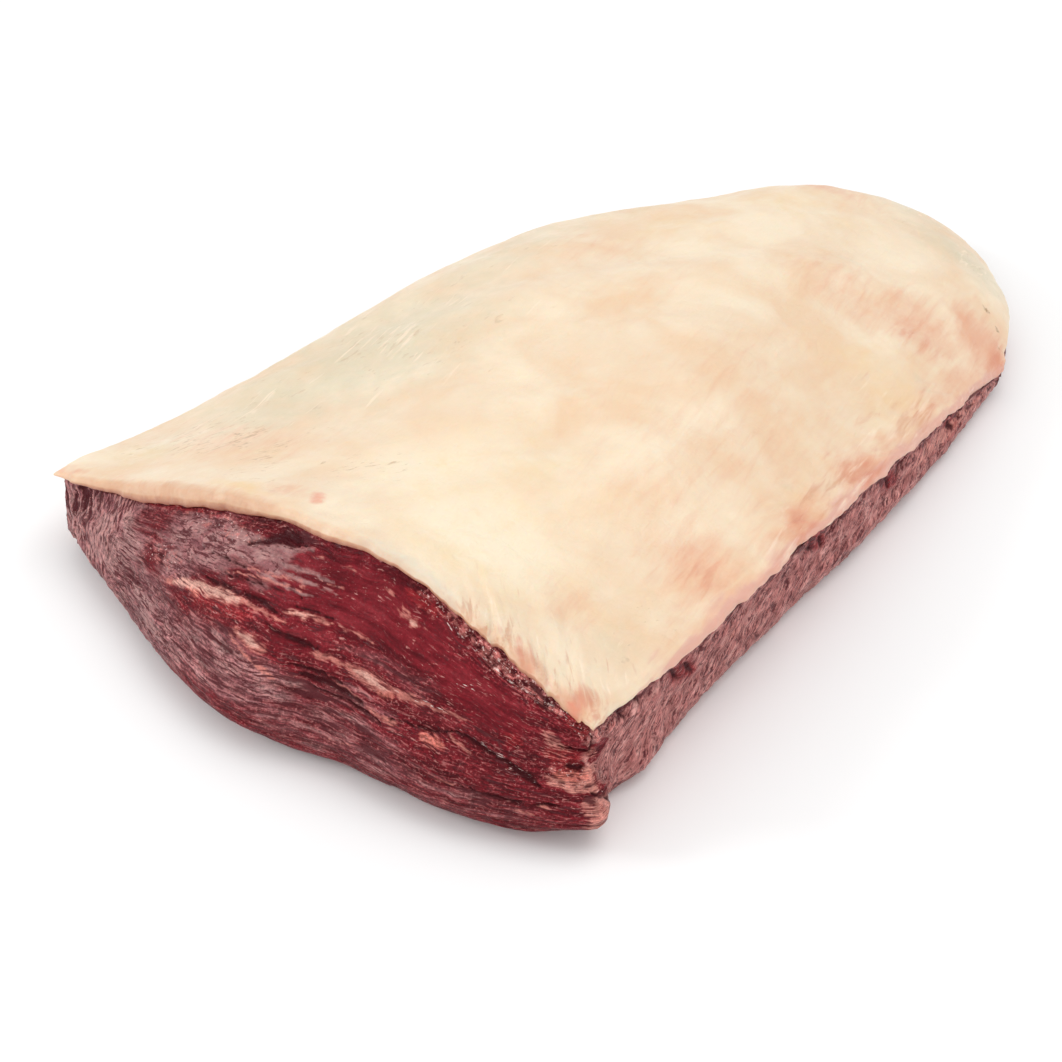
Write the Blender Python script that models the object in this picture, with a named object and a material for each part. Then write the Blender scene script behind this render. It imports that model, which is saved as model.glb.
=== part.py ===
# Raw picanha: one whole rump cap of beef, lying lean side down with its fat cap on top.
# Two pieces: the lean, with its wide cut face towards -Y, and the fat cap that covers it.
# Everything is laid out in millimetres here and turned to metres where the meshes are made.

import math

import bmesh
import bpy
import numpy as np

MM = 0.001

# Corners of the fat's rim seen from above. The near side is the wide cut face.
NEAR_LEFT = (-92, -1)
NEAR_RIGHT = (94, -3)
FAR_RIGHT = (82, 226)
FAR_LEFT = (-40, 240)

# Stations along each side, evenly spaced from its left or near end. "rim" is the height of
# the fat's rim, "belly" how far out the widest part of the wall stands and "belly_height"
# how high, "tuck" how far the underside runs back in to the foot, and "lip" how far the fat
# stands out over the lean.
SIDES = {
    "near": {
        "plan": [NEAR_LEFT, (-45, 0), (1, 0), (48, -1), NEAR_RIGHT],
        "rim": [25, 31, 39, 46, 51, 54, 50, 43, 37],
        "belly": [-3, 10, 19, 28, 33, 27, 26.5, 19.5, 2],
        "belly_height": [6, 10, 9, 9, 8, 8, 8, 8, 8],
        "tuck": [40, 26, 18, 15, 12, 12, 12, 11, 10],
        "lip": [0, 1, 1, 1, 1],
    },
    "right": {
        "plan": [NEAR_RIGHT, (94, 43), (93, 89), (90, 135), (86.5, 180), FAR_RIGHT],
        "rim": [37, 31, 30, 24, 18, 10],
        "belly": [2, -2.5, -2, 0.5, 3.5, 0],
        "belly_height": [8, 9, 8, 7, 6, 5],
        "tuck": [10, 8, 8, 8, 8, 8],
        "lip": [1, 1, 1, 1, 0],
    },
    "far": {
        "plan": [FAR_LEFT, (0, 276), (35, 282), (67, 258), FAR_RIGHT],
        "rim": [12, 12, 12, 12, 10],
        "belly": [0, 1, 1, 1, 0],
        "belly_height": [8, 7, 7, 7, 5],
        "tuck": [20, 14, 12, 10, 8],
        "lip": [0, 0],
    },
    "left": {
        "plan": [NEAR_LEFT, (-99, 37), (-90, 78), (-85, 120), (-81, 162), (-66, 203), FAR_LEFT],
        "rim": [25, 17, 17, 17, 15, 13, 12],
        "belly": [-3, 0, 1, 1, 1, 1, 0],
        "belly_height": [6, 9, 11, 10, 10, 9, 8],
        "tuck": [40, 36, 30, 28, 26, 22, 20],
        "lip": [0, 0],
    },
}
CROWN = [3, 7, 14, 15, 15, 15, 6]  # how high the back domes over the rims, near to far
ROLL = 0.8  # how fully the top rolls over into the left and far sides, 0 to 1
TILT = math.radians(52)  # how far the fat's edge leans out where it rolls over
TILT_SHARE = 0.3  # how much of the width or length that roll takes
SPINE = ((0, 110), (25, 170))  # the walls lean straight away from this line

# The loose lobe at the foot of the near right corner.
LOBE_AT = (98, -10, 9)
LOBE_REACH = (14, 11, 8)
LOBE_PUSH = (7.5, -3, 0)

# Fat
FAT_THICK = 8
FAT_RIM_THICK = 3
FAT_RIM_SHARE = 0.26  # how much of the width the fat takes to reach its full thickness
FAT_RIM_ROUND = 0.6
GAP = 0.45  # between the fat and the lean
# Swells of the fat: height, the run of one wave across and along, and its phase.
FAT_SWELLS = [(0.9, 74, 190, 0.4), (0.6, -58, 83, 2.1), (0.4, 41, -47, 4.0)]

# Cut face: ripples of the muscle bundles, and the seams between them as both ends in
# shares across the face and up the wall, with depth and half width.
RIPPLE = 0.5
RIPPLE_RUN = 13
RIPPLE_SLANT = 95
SEAMS = [
    ((0.56, 0.58), (0.79, 0.65), 1.2, 3.5),
    ((0.79, 0.65), (0.97, 0.51), 1.6, 3.5),
    ((0.36, 0.78), (0.54, 0.85), 1.0, 3.5),
    ((0.33, 0.47), (0.55, 0.40), 0.9, 3.5),
]

ACROSS = 28
ALONG = 38
WALL_ROWS = 14
UNDERSIDE_SHARE = 0.3  # how much of the rows the underside takes, below the belly

MATERIALS = {
    "lean_meat": {"colour": (0.25, 0.065, 0.065), "roughness": 0.38},
    "fat_cap": {"colour": (0.92, 0.70, 0.50), "roughness": 0.45},
}


def through(stations, at):
    """The smooth curve through evenly spaced stations, read at shares of its run."""
    values = np.asarray(stations, float)
    ends = 2 * values[0] - values[1], 2 * values[-1] - values[-2]
    values = np.concatenate([[ends[0]], values, [ends[1]]])
    spans = len(values) - 3
    place = np.clip(at, 0, 1) * spans
    first = np.minimum(place.astype(int), spans - 1)
    f = place - first
    if values.ndim > 1:
        f = f[..., None]
    a, b, c, d = (values[first + k] for k in range(4))
    square = (2 * a - 5 * b + 4 * c - d) * f**2
    cube = (3 * b - a - 3 * c + d) * f**3
    return (2 * b + (c - a) * f + square + cube) / 2


def patch(near, far, left, right, u, v):
    """The surface spanned by four curves that meet at their ends."""
    more = (None,) * (near.ndim - 1)
    u = u[(slice(None), None) + more]
    v = v[(None, slice(None)) + more]
    across = (1 - v) * near[:, None] + v * far[:, None]
    along = (1 - u) * left[None] + u * right[None]
    near_corners = (1 - u) * near[0] + u * near[-1]
    far_corners = (1 - u) * far[0] + u * far[-1]
    return across + along - (1 - v) * near_corners - v * far_corners


def roll_left(u):
    return ROLL * (1 - np.cos(np.pi / 2 * u)) + (1 - ROLL) * u


def roll_far(v):
    return ROLL * np.sin(np.pi / 2 * v) + (1 - ROLL) * v


def of_sides(key, s, t):
    """One property read along the near, far, left and right sides."""
    return (
        through(SIDES["near"][key], s),
        through(SIDES["far"][key], s),
        through(SIDES["left"][key], t),
        through(SIDES["right"][key], t),
    )


def back(u, v):
    """The smooth top of the fat, as a grid of points from left to right and near to far."""
    s, t = roll_left(u), roll_far(v)
    plan = patch(*of_sides("plan", s, t), s, t)
    height = patch(*of_sides("rim", s, t), u, v)
    dome = np.sin(np.pi * u**0.9)[:, None] * np.sqrt(np.abs(np.sin(np.pi * v)))
    height += through(CROWN, v) * dome
    return np.concatenate([plan, height[..., None]], axis=-1)


def ease(share):
    share = np.clip(share, 0, 1)
    return share * share * (3 - 2 * share)


def away_from_rim(u, v):
    """0 on the rim, rising smoothly to 1 inside it."""
    from_edge = np.minimum(np.minimum(u, 1 - u)[:, None], np.minimum(v, 1 - v))
    return ease(from_edge / FAT_RIM_SHARE)


def edge_ring(grid):
    """The edge of a grid, anticlockwise seen from above, from its near left corner."""
    near, right = grid[:-1, 0], grid[-1, :-1]
    far, left = grid[:0:-1, -1], grid[0, :0:-1]
    return np.concatenate([near, right, far, left])


def ring_of_sides(key, u, v):
    near, far, left, right = of_sides(key, roll_left(u), roll_far(v))
    return np.concatenate([near[:-1], right[:-1], far[:0:-1], left[:0:-1]])


def outward(points):
    """The level direction away from the spine."""
    start, end = np.array(SPINE, float)
    run = end - start
    share = np.clip((points - start) @ run / (run @ run), 0, 1)[:, None]
    away = points - (start + share * run)
    away /= np.linalg.norm(away, axis=1, keepdims=True)
    return np.column_stack([away, np.zeros(len(away))])


def way_out(points, u, v):
    """The direction out through the fat: up, tilting outwards where the left and far sides roll over."""
    at_left = ease(1 - u / TILT_SHARE)[:, None] * ease(v / TILT_SHARE)
    at_far = ease(1 - (1 - v) / TILT_SHARE) * ease((1 - u) / TILT_SHARE)[:, None]
    tilt = TILT * np.maximum(at_left, at_far)[..., None]
    away = outward(points.reshape(-1, 3)[:, :2]).reshape(points.shape)
    return np.cos(tilt) * (0, 0, 1) + np.sin(tilt) * away


def swells(points):
    """The gentle swells of the fat."""
    x, y = points[..., 0], points[..., 1]
    return sum(
        height * np.sin(2 * np.pi * (x / across + y / along) + phase)
        for height, across, along, phase in FAT_SWELLS
    )


def cut_relief(rows, share_up, on_cut):
    """How far the cut face stands out or in: ripples along the fibres, and seams."""
    x, z = rows[..., 0], rows[..., 2]
    relief = RIPPLE * np.sin(2 * np.pi * (z / RIPPLE_RUN + x / RIPPLE_SLANT))
    width = NEAR_RIGHT[0] - NEAR_LEFT[0]
    height = max(SIDES["near"]["rim"])
    up = share_up[:, None] * height
    for start, end, depth, half_width in SEAMS:
        x0, x1 = (NEAR_LEFT[0] + width * end_at[0] for end_at in (start, end))
        up0, up1 = height * start[1], height * end[1]
        share = ((x - x0) * (x1 - x0) + (up - up0) * (up1 - up0)) / math.hypot(x1 - x0, up1 - up0) ** 2
        share = np.clip(share, 0, 1)
        distance = np.hypot(x - x0 - share * (x1 - x0), up - up0 - share * (up1 - up0))
        relief -= depth * np.exp(-((distance / half_width) ** 2))
    inside = np.sin(np.pi * share_up)[:, None]
    return relief * inside * on_cut


def wall(rim, u, v):
    """Rings of the lean's side, from its rim down to the flat foot."""
    belly = ring_of_sides("belly", u, v)
    belly_height = ring_of_sides("belly_height", u, v)
    tuck = ring_of_sides("tuck", u, v)
    away = outward(rim[:, :2])
    share_up = np.linspace(1, 0, WALL_ROWS + 1)
    rows = []
    for share in share_up:
        if share >= UNDERSIDE_SHARE:
            up = (share - UNDERSIDE_SHARE) / (1 - UNDERSIDE_SHARE)
            out = belly * (1 - up * up)
            height = belly_height + (rim[:, 2] - belly_height) * up
        else:
            turn = share / UNDERSIDE_SHARE * np.pi / 2
            out = belly - tuck * (1 - math.sin(turn))
            height = belly_height * (1 - math.cos(turn))
        rows.append(np.column_stack([rim[:, :2], height]) + away * out[:, None])
    rows = np.array(rows)
    on_cut = np.concatenate([np.sin(np.pi * u[:-1]), np.zeros(len(rim) - len(u) + 1)])
    rows += away * cut_relief(rows, share_up, on_cut)[..., None]
    from_lobe = (rows - LOBE_AT) / LOBE_REACH
    rows += np.exp(-(from_lobe**2).sum(axis=-1))[..., None] * LOBE_PUSH
    rows[-1, :, 2] = 0
    return rows


def grid_faces(numbers, upward):
    """Triangles, so that two grids a gap apart fold along the same diagonals."""
    a, b = numbers[:-1, :-1], numbers[1:, :-1]
    c, d = numbers[1:, 1:], numbers[:-1, 1:]
    halves = [[a, b, c], [a, c, d]] if upward else [[c, b, a], [d, c, a]]
    return [face for half in halves for face in np.stack(half, axis=-1).reshape(-1, 3).tolist()]


def band_faces(upper, lower):
    """Faces between two rings of the same count, facing out."""
    corners = [lower, np.roll(lower, -1), np.roll(upper, -1), upper]
    return np.stack(corners, axis=-1).tolist()


def closed_mesh(name, top, rings, underside=None):
    """A mesh of a top grid, rings down from its edge, and an underside grid or a flat foot."""
    top_numbers = np.arange(top[..., 0].size).reshape(top.shape[:2])
    faces = grid_faces(top_numbers, upward=True)
    points = [top.reshape(-1, 3)]
    count = top_numbers.size
    above = edge_ring(top_numbers)
    for ring in rings:
        below = np.arange(count, count + len(ring))
        faces += band_faces(above, below)
        points.append(ring)
        count += len(ring)
        above = below
    if underside is None:
        faces.append(above[::-1].tolist())
    else:
        under_numbers = np.arange(count, count + top_numbers.size).reshape(top.shape[:2])
        faces += band_faces(above, edge_ring(under_numbers))
        faces += grid_faces(under_numbers, upward=False)
        points.append(underside.reshape(-1, 3))
    mesh = bpy.data.meshes.new(name)
    mesh.from_pydata(np.concatenate(points) * MM, [], faces)
    return mesh


def fan_foot(mesh):
    """Turns the flat foot's one large face into a fan around its middle."""
    shape = bmesh.new()
    shape.from_mesh(mesh)
    foot = max(shape.faces, key=lambda face: len(face.verts))
    bmesh.ops.poke(shape, faces=[foot])
    shape.to_mesh(mesh)
    shape.free()


def fat_cap():
    """The fat: full in the middle and thin at its rim, with a rounded edge."""
    inner = away_from_rim(u_lines, v_lines)
    top = fat_top + fat_way * (inner * swells(fat_top))[..., None]
    rim_ring = edge_ring(top)
    under_ring = edge_ring(fat_under)
    middle = (rim_ring + under_ring) / 2 + outward(rim_ring[:, :2]) * FAT_RIM_ROUND
    return closed_mesh("fat_cap", top, [middle], fat_under)


def lean_meat():
    """The lean: its top follows the fat at a gap, and its walls run down to the foot."""
    top = fat_under - fat_way * GAP
    rim = edge_ring(top)
    rim = rim - outward(rim[:, :2]) * ring_of_sides("lip", u_lines, v_lines)[:, None]
    rows = wall(rim, u_lines, v_lines)
    set_edge(top, rim)
    mesh = closed_mesh("lean_meat", top, rows[1:])
    fan_foot(mesh)
    return mesh


def set_edge(grid, ring):
    """Moves the edge of a grid to a ring, in edge_ring's order."""
    across, along = grid.shape[0] - 1, grid.shape[1] - 1
    near, right, far, left = np.split(ring, np.cumsum([across, along, across]))
    grid[:-1, 0] = near
    grid[-1, :-1] = right
    grid[:0:-1, -1] = far
    grid[0, :0:-1] = left


def material(name):
    look = MATERIALS[name]
    made = bpy.data.materials.new(name)
    made.use_nodes = True
    surface = made.node_tree.nodes["Principled BSDF"]
    surface.inputs["Base Color"].default_value = (*look["colour"], 1)
    surface.inputs["Roughness"].default_value = look["roughness"]
    surface.inputs["Metallic"].default_value = 0
    return made


def stand_on_origin(meshes):
    """Moves the meshes so that the middle of the box around them stands on the origin."""
    points = np.array([vertex.co for mesh in meshes for vertex in mesh.vertices])
    middle = (points.min(axis=0) + points.max(axis=0)) / 2
    for mesh in meshes:
        for vertex in mesh.vertices:
            vertex.co.x -= middle[0]
            vertex.co.y -= middle[1]


for old in list(bpy.data.objects):
    bpy.data.objects.remove(old)

u_lines = np.linspace(0, 1, ACROSS + 1)
v_lines = np.linspace(0, 1, ALONG + 1)
fat_top = back(u_lines, v_lines)
fat_way = way_out(fat_top, u_lines, v_lines)
fat_depth = FAT_RIM_THICK + (FAT_THICK - FAT_RIM_THICK) * away_from_rim(u_lines, v_lines)
fat_under = fat_top - fat_way * fat_depth[..., None]

pieces = [lean_meat(), fat_cap()]
stand_on_origin(pieces)
for piece in pieces:
    piece.materials.append(material(piece.name))
    piece.shade_smooth()
    bpy.context.collection.objects.link(bpy.data.objects.new(piece.name, piece))
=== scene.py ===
# The looks of a raw picanha: a whole rump cap of beef, lean side down, with its fat cap on top.
# Places and sizes are in millimetres until a mesh is made. The wide cut face looks towards -Y.

import math

import bpy
import numpy as np
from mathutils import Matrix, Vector


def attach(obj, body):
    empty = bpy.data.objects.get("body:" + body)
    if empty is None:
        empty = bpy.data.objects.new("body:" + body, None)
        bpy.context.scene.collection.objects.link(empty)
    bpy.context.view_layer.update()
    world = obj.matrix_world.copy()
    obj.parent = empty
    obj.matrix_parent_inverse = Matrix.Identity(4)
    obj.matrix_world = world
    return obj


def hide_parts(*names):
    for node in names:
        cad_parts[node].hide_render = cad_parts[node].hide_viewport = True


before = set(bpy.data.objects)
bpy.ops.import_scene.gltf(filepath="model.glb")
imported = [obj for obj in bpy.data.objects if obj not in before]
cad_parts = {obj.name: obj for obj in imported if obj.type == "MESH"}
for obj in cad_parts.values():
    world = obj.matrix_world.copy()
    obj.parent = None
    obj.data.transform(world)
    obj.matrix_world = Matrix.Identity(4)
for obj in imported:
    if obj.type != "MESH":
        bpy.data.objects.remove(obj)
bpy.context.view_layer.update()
mm = 0.001

# The form that both pieces share, as stations along each side from its left or near end.
# "rim" is the height of the meat's edge, "belly" how far out the wall stands and at what height,
# "tuck" how far the underside runs back in, "lip" how far the fat stands out over the lean,
# "edge" how thick the fat is there and "hang" how far it hangs down over the lean besides, "lift"
# how much of its thickness lies above the rim, and "over" how far its rounded edge bulges.
form = {
    "near": {
        "plan": [(-92, -1), (-45, 0), (1, 0), (48, -1), (94, -3)],
        "rim": [25, 31, 39, 46, 51, 54, 50, 43, 37],
        "belly": [1.2, 11.5, 19.8, 28.4, 33.3, 27.5, 27, 20, 2.2],
        "bellyHeight": [6, 10, 9, 9, 8, 8, 8, 8, 8],
        "tuck": [40, 26, 18, 15, 12, 12, 12, 11, 10],
        "lip": [2.4, 1.6, 1.3, 1.1, 1, 1, 1, 1, 1],
        "edge": [1.1, 2.4, 3.4, 3.6, 2.4, 1.8, 1.7, 1.7, 1.7],
        "hang": [0, 0.5, 0.8, 1.9, 1.8, 1, 1.1, 0.3, 0.8, 1.2, 0.8, 0.5, 0.5, 0.5, 0.8, 1.5, 2.3],
        "lift": [0.6, 2, 3, 3.3, 2.2, 1.6, 1.5, 1.5, 1.5],
        "over": [0.4, 0.8, 1, 1, 0.6, 0.3, 0.3, 0.3, 0.3],
    },
    "right": {
        "plan": [(94, -3), (94, 43), (93, 89), (90, 135), (86.5, 180), (82, 226)],
        "rim": [37, 31, 30, 24, 18, 10],
        "belly": [2.2, -2.3, -2.6, 0.2, 0.8, -0.6],
        "bellyHeight": [8, 9, 8, 7, 6, 5],
        "tuck": [10, 8, 8, 8, 8, 8],
        "lip": [1, 0.6, 0.6, 0.6, 0],
        "edge": [1.7, 1.5, 1.5, 1.5, 2],
        "hang": [2.6, 0.7, 0, 0, 0, 0, 0, 0],
        "lift": [1.5, 1.1, 1, 0.8, 0.2],
        "over": [0.3, 0.2, 0.2, 0.2, 0.2],
    },
    "far": {
        "plan": [(-41, 241), (-1, 277), (34, 281), (66, 257), (82, 226)],
        "rim": [12, 12, 12, 12, 10],
        "belly": [0, 1, 1, 1, 0],
        "bellyHeight": [8, 7, 7, 7, 5],
        "tuck": [20, 14, 12, 10, 8],
        "lip": [0.4, 0],
        "edge": [3, 3, 3, 3, 2],
        "hang": [0, 0],
        "lift": [0, 0, 0, 0, 0.2],
        "over": [0.4, 0.4, 0.4, 0.4, 0.2],
    },
    "left": {
        "plan": [(-92, -1), (-97.5, 37), (-88.5, 78), (-85, 120), (-81, 162), (-66, 203), (-41, 241)],
        "rim": [25, 17, 17, 17, 15, 13, 12],
        "belly": [1.2, 1, 1, 1, 1, 1, 0],
        "bellyHeight": [6, 9, 11, 10, 10, 9, 8],
        "tuck": [40, 36, 30, 28, 26, 22, 20],
        "lip": [2.4, 0.8, 0.4, 0.4, 0.4, 0.4, 0.4],
        "edge": [1.1, 2.6, 3, 3, 3, 3, 3],
        "hang": [0, 0],
        "lift": [0.6, 0, 0, 0, 0, 0, 0],
        "over": [0.4, 0.4, 0.4, 0.4, 0.4, 0.4, 0.4],
    },
    "crown": [3, 7, 14, 15, 15, 15, 6],  # how high the back domes over the rims, near to far
    "roll": 0.8,  # how fully the top rolls over into the left and far sides
    "tilt": math.radians(52),
    "tiltShare": 0.3,
    "spine": ((0, 110), (25, 170)),  # the walls lean straight away from this line
    "underside": 0.3,  # the share of the wall's height numbers that lies under the belly
    "gap": 0.45,
    "hiddenLines": (26, 34),  # a coarse grid for what lies hidden between the two pieces
    "rimWaves": ((0.45, 13, 1, 2), (0.2, 5, 1, 3)),
}
sideNames = ("near", "right", "far", "left")


def through(stations, at):
    # The smooth curve through evenly spaced stations, read at shares of its run.
    values = np.asarray(stations, float)
    values = np.concatenate([[2 * values[0] - values[1]], values, [2 * values[-1] - values[-2]]])
    spans = len(values) - 3
    place = np.clip(at, 0, 1) * spans
    first = np.minimum(place.astype(int), spans - 1)
    f = place - first
    if values.ndim > 1:
        f = f[..., None]
    a, b, c, d = (values[first + k] for k in range(4))
    square = (2 * a - 5 * b + 4 * c - d) * f**2
    cube = (3 * b - a - 3 * c + d) * f**3
    return (2 * b + (c - a) * f + square + cube) / 2


def spanned(key, s, t, u, v):
    # The surface spanned by what the four sides hold under a key, read at s and t, spread by u and v.
    near, far = (through(form[side][key], s) for side in ("near", "far"))
    left, right = (through(form[side][key], t) for side in ("left", "right"))
    corners = [np.asarray(form[side][key][end], float) for side in ("near", "far") for end in (0, -1)]
    more = (None,) * (near.ndim - 1)
    u = u[(slice(None), None) + more]
    v = v[(None, slice(None)) + more]
    across = (1 - v) * near[:, None] + v * far[:, None]
    along = (1 - u) * left[None] + u * right[None]
    nearCorners = (1 - u) * corners[0] + u * corners[1]
    farCorners = (1 - u) * corners[2] + u * corners[3]
    return across + along - (1 - v) * nearCorners - v * farCorners


# Even steps over the rolled top, as shares of the sides' run.
def rollLeft(u):
    return form["roll"] * (1 - np.cos(np.pi / 2 * u)) + (1 - form["roll"]) * u


def rollFar(v):
    return form["roll"] * np.sin(np.pi / 2 * v) + (1 - form["roll"]) * v


rolls = dict(zip(sideNames, (rollLeft, rollFar, rollLeft, rollFar)))


def backOf(u, v):
    # The smooth top of the meat, as a grid from left to right and near to far.
    s, t = rollLeft(u), rollFar(v)
    plan = spanned("plan", s, t, s, t)
    height = spanned("rim", s, t, u, v)
    dome = np.sin(np.pi * u**0.9)[:, None] * np.sqrt(np.abs(np.sin(np.pi * v)))
    height += through(form["crown"], v) * dome
    return np.concatenate([plan, height[..., None]], axis=-1)


def ease(share):
    share = np.clip(share, 0, 1)
    return share * share * (3 - 2 * share)


def step(low, high, value):
    return ease((value - low) / (high - low))


def atLeast(least, share):
    # From a least value, where the share is 0, to 1.
    return least + (1 - least) * share


def outward(points):
    # The level direction away from the spine.
    start, end = np.array(form["spine"], float)
    run = end - start
    share = np.clip((points[..., :2] - start) @ run / (run @ run), 0, 1)[..., None]
    away = points[..., :2] - (start + share * run)
    away /= np.linalg.norm(away, axis=-1, keepdims=True)
    return np.concatenate([away, np.zeros(away.shape[:-1] + (1,))], axis=-1)


def wayOut(points, u, v):
    # Out through the fat: up, tilting outwards where the left and far sides roll over.
    atLeft = ease(1 - u / form["tiltShare"])[:, None] * ease(v / form["tiltShare"])
    atFar = ease(1 - (1 - v) / form["tiltShare"]) * ease((1 - u) / form["tiltShare"])[:, None]
    tilt = form["tilt"] * np.maximum(atLeft, atFar)[..., None]
    return np.cos(tilt) * (0, 0, 1) + np.sin(tilt) * outward(points)


def evenly(roll, count):
    # Lines whose places along a side are evenly spaced, read off a much finer run of them.
    fine = np.linspace(0, 1, 4001)
    return np.interp(np.linspace(0, 1, count + 1), roll(fine), fine)


def ringOf(read, lines):
    # What read(u, v) gives along the rim, anticlockwise from the near left corner.
    first, last = np.zeros(1), np.ones(1)
    sides = [
        read(lines["near"], first)[:, 0],
        read(last, lines["right"])[0],
        read(lines["far"], last)[::-1, 0],
        read(first, lines["left"])[0, ::-1],
    ]
    return np.concatenate([side[:-1] for side in sides])


def sideRing(key):
    # What the sides hold under a key, at the lean's lines in the same order.
    ring = []
    for side in sideNames:
        shares = rolls[side](wallLines[side])
        ring.append(through(form[side][key], shares[::-1] if side in ("far", "left") else shares)[:-1])
    return np.concatenate(ring)


def edgeRing(grid):
    # The edge of a grid in the same order.
    return np.concatenate([grid[:-1, 0], grid[-1, :-1], grid[:0:-1, -1], grid[0, :0:-1]])


# Smooth gradient noise for every swell, fibre and pit that is cut into the meshes.
dice = np.random.default_rng(21)
shuffled = np.tile(dice.permutation(256), 2)
slopes = dice.normal(size=(256, 3))
slopes /= np.linalg.norm(slopes, axis=1, keepdims=True)


def cloud(places, run, octaves=1, shift=0):
    # About -1 to 1. run is the length of one bump, or its length along each of the places' axes.
    # The odd numbers keep shifts and octaves from lining up.
    at = np.asarray(places, float) / run + shift * 17.37
    total, weight = 0, 1
    for _ in range(octaves):
        cell = np.floor(at).astype(int)
        part = at - cell
        fade = part**3 * (part * (part * 6 - 15) + 10)
        for corner in np.ndindex(2, 2, 2):
            x, y, z = np.moveaxis((cell + corner) & 255, -1, 0)
            slope = slopes[shuffled[shuffled[shuffled[x] + y] + z]]
            share = np.prod(np.where(corner, fade, 1 - fade), axis=-1)
            total = total + weight * share * ((part - corner) * slope).sum(-1)
        at = at * 2.03 + 5.1
        weight *= 0.5
    return 2 * total


def clouds(places, noises):
    # The sum of noises, each with its height, the length of one bump in mm, octaves and shift.
    return sum(height * cloud(places, *noise) for height, *noise in noises)


def shaken(points, by, run, shifts):
    # The points pushed about, so that what goes by them has ragged edges.
    return points + by * np.stack([cloud(points, run, 2, shift) for shift in shifts], axis=-1)


def nearLine(points, path):
    # How far each point is from a path, and how far along the path that is, 0 to 1.
    path = np.asarray(path, float)
    lengths = np.linalg.norm(np.diff(path, axis=0), axis=1)
    starts = np.concatenate([[0], np.cumsum(lengths)])
    best, along = np.full(points.shape[:-1], 1e9), np.zeros(points.shape[:-1])
    for start, end, before, length in zip(path, path[1:], starts, lengths):
        run = end - start
        share = np.clip((points - start) @ run / length**2, 0, 1)
        distance = np.linalg.norm(points - start - share[..., None] * run, axis=-1)
        along = np.where(distance < best, (before + share * length) / starts[-1], along)
        best = np.minimum(distance, best)
    return best, along


def addGrid(faces, flatMap, numbers, places):
    # Adds the faces of a grid of vertex numbers, with the corners' places on the flat map.
    for add, values in ((faces, numbers), (flatMap, places)):
        corners = [values[:-1, :-1], values[1:, :-1], values[1:, 1:], values[:-1, 1:]]
        add += np.stack(corners, axis=2).reshape(numbers[1:, 1:].size, -1).tolist()


def zipped(outer, inner, outerAt, innerAt):
    # Triangles, facing up, between two anticlockwise rings with different counts.
    outer, inner = (np.append(ring, ring[0]).tolist() for ring in (outer, inner))
    faces, i, j = [], 0, 0
    for _, onInner in sorted([(at, False) for at in outerAt[1:]] + [(at, True) for at in innerAt[1:]]):
        if onInner:
            faces.append([outer[i], inner[j + 1], inner[j]])
            j += 1
        else:
            faces.append([outer[i], outer[i + 1], inner[j]])
            i += 1
    return faces


def sharesRound(*counts):
    # Shares of the way round, a quarter for each side.
    sides = [(np.arange(count) / count + k) / 4 for k, count in enumerate(counts)]
    return np.concatenate([*sides, [1]])


def planMap(points, corner, size):
    # Places on the flat map for what lies level, seen from above.
    low, high = points[:, :2].min(0), points[:, :2].max(0)
    return corner + (points[:, :2] - low) / (high - low).max() * size


def addObject(name, data):
    made = bpy.data.objects.new(name, data)
    bpy.context.scene.collection.objects.link(made)
    return made


def makePiece(name, points, faces, flatMap, values):
    mesh = bpy.data.meshes.new(name)
    mesh.from_pydata((points - middle) * mm, [], faces)
    mesh.uv_layers.new(name="OFBake").data.foreach_set("uv", np.concatenate(flatMap).ravel())
    for key, value in values.items():
        kind = "FLOAT_VECTOR" if value.ndim > 1 else "FLOAT"
        data = mesh.attributes.new(key, kind, "POINT").data
        data.foreach_set("vector" if value.ndim > 1 else "value", value.astype(np.float32).ravel())
    mesh.shade_smooth()
    return addObject(name, mesh)


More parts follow.
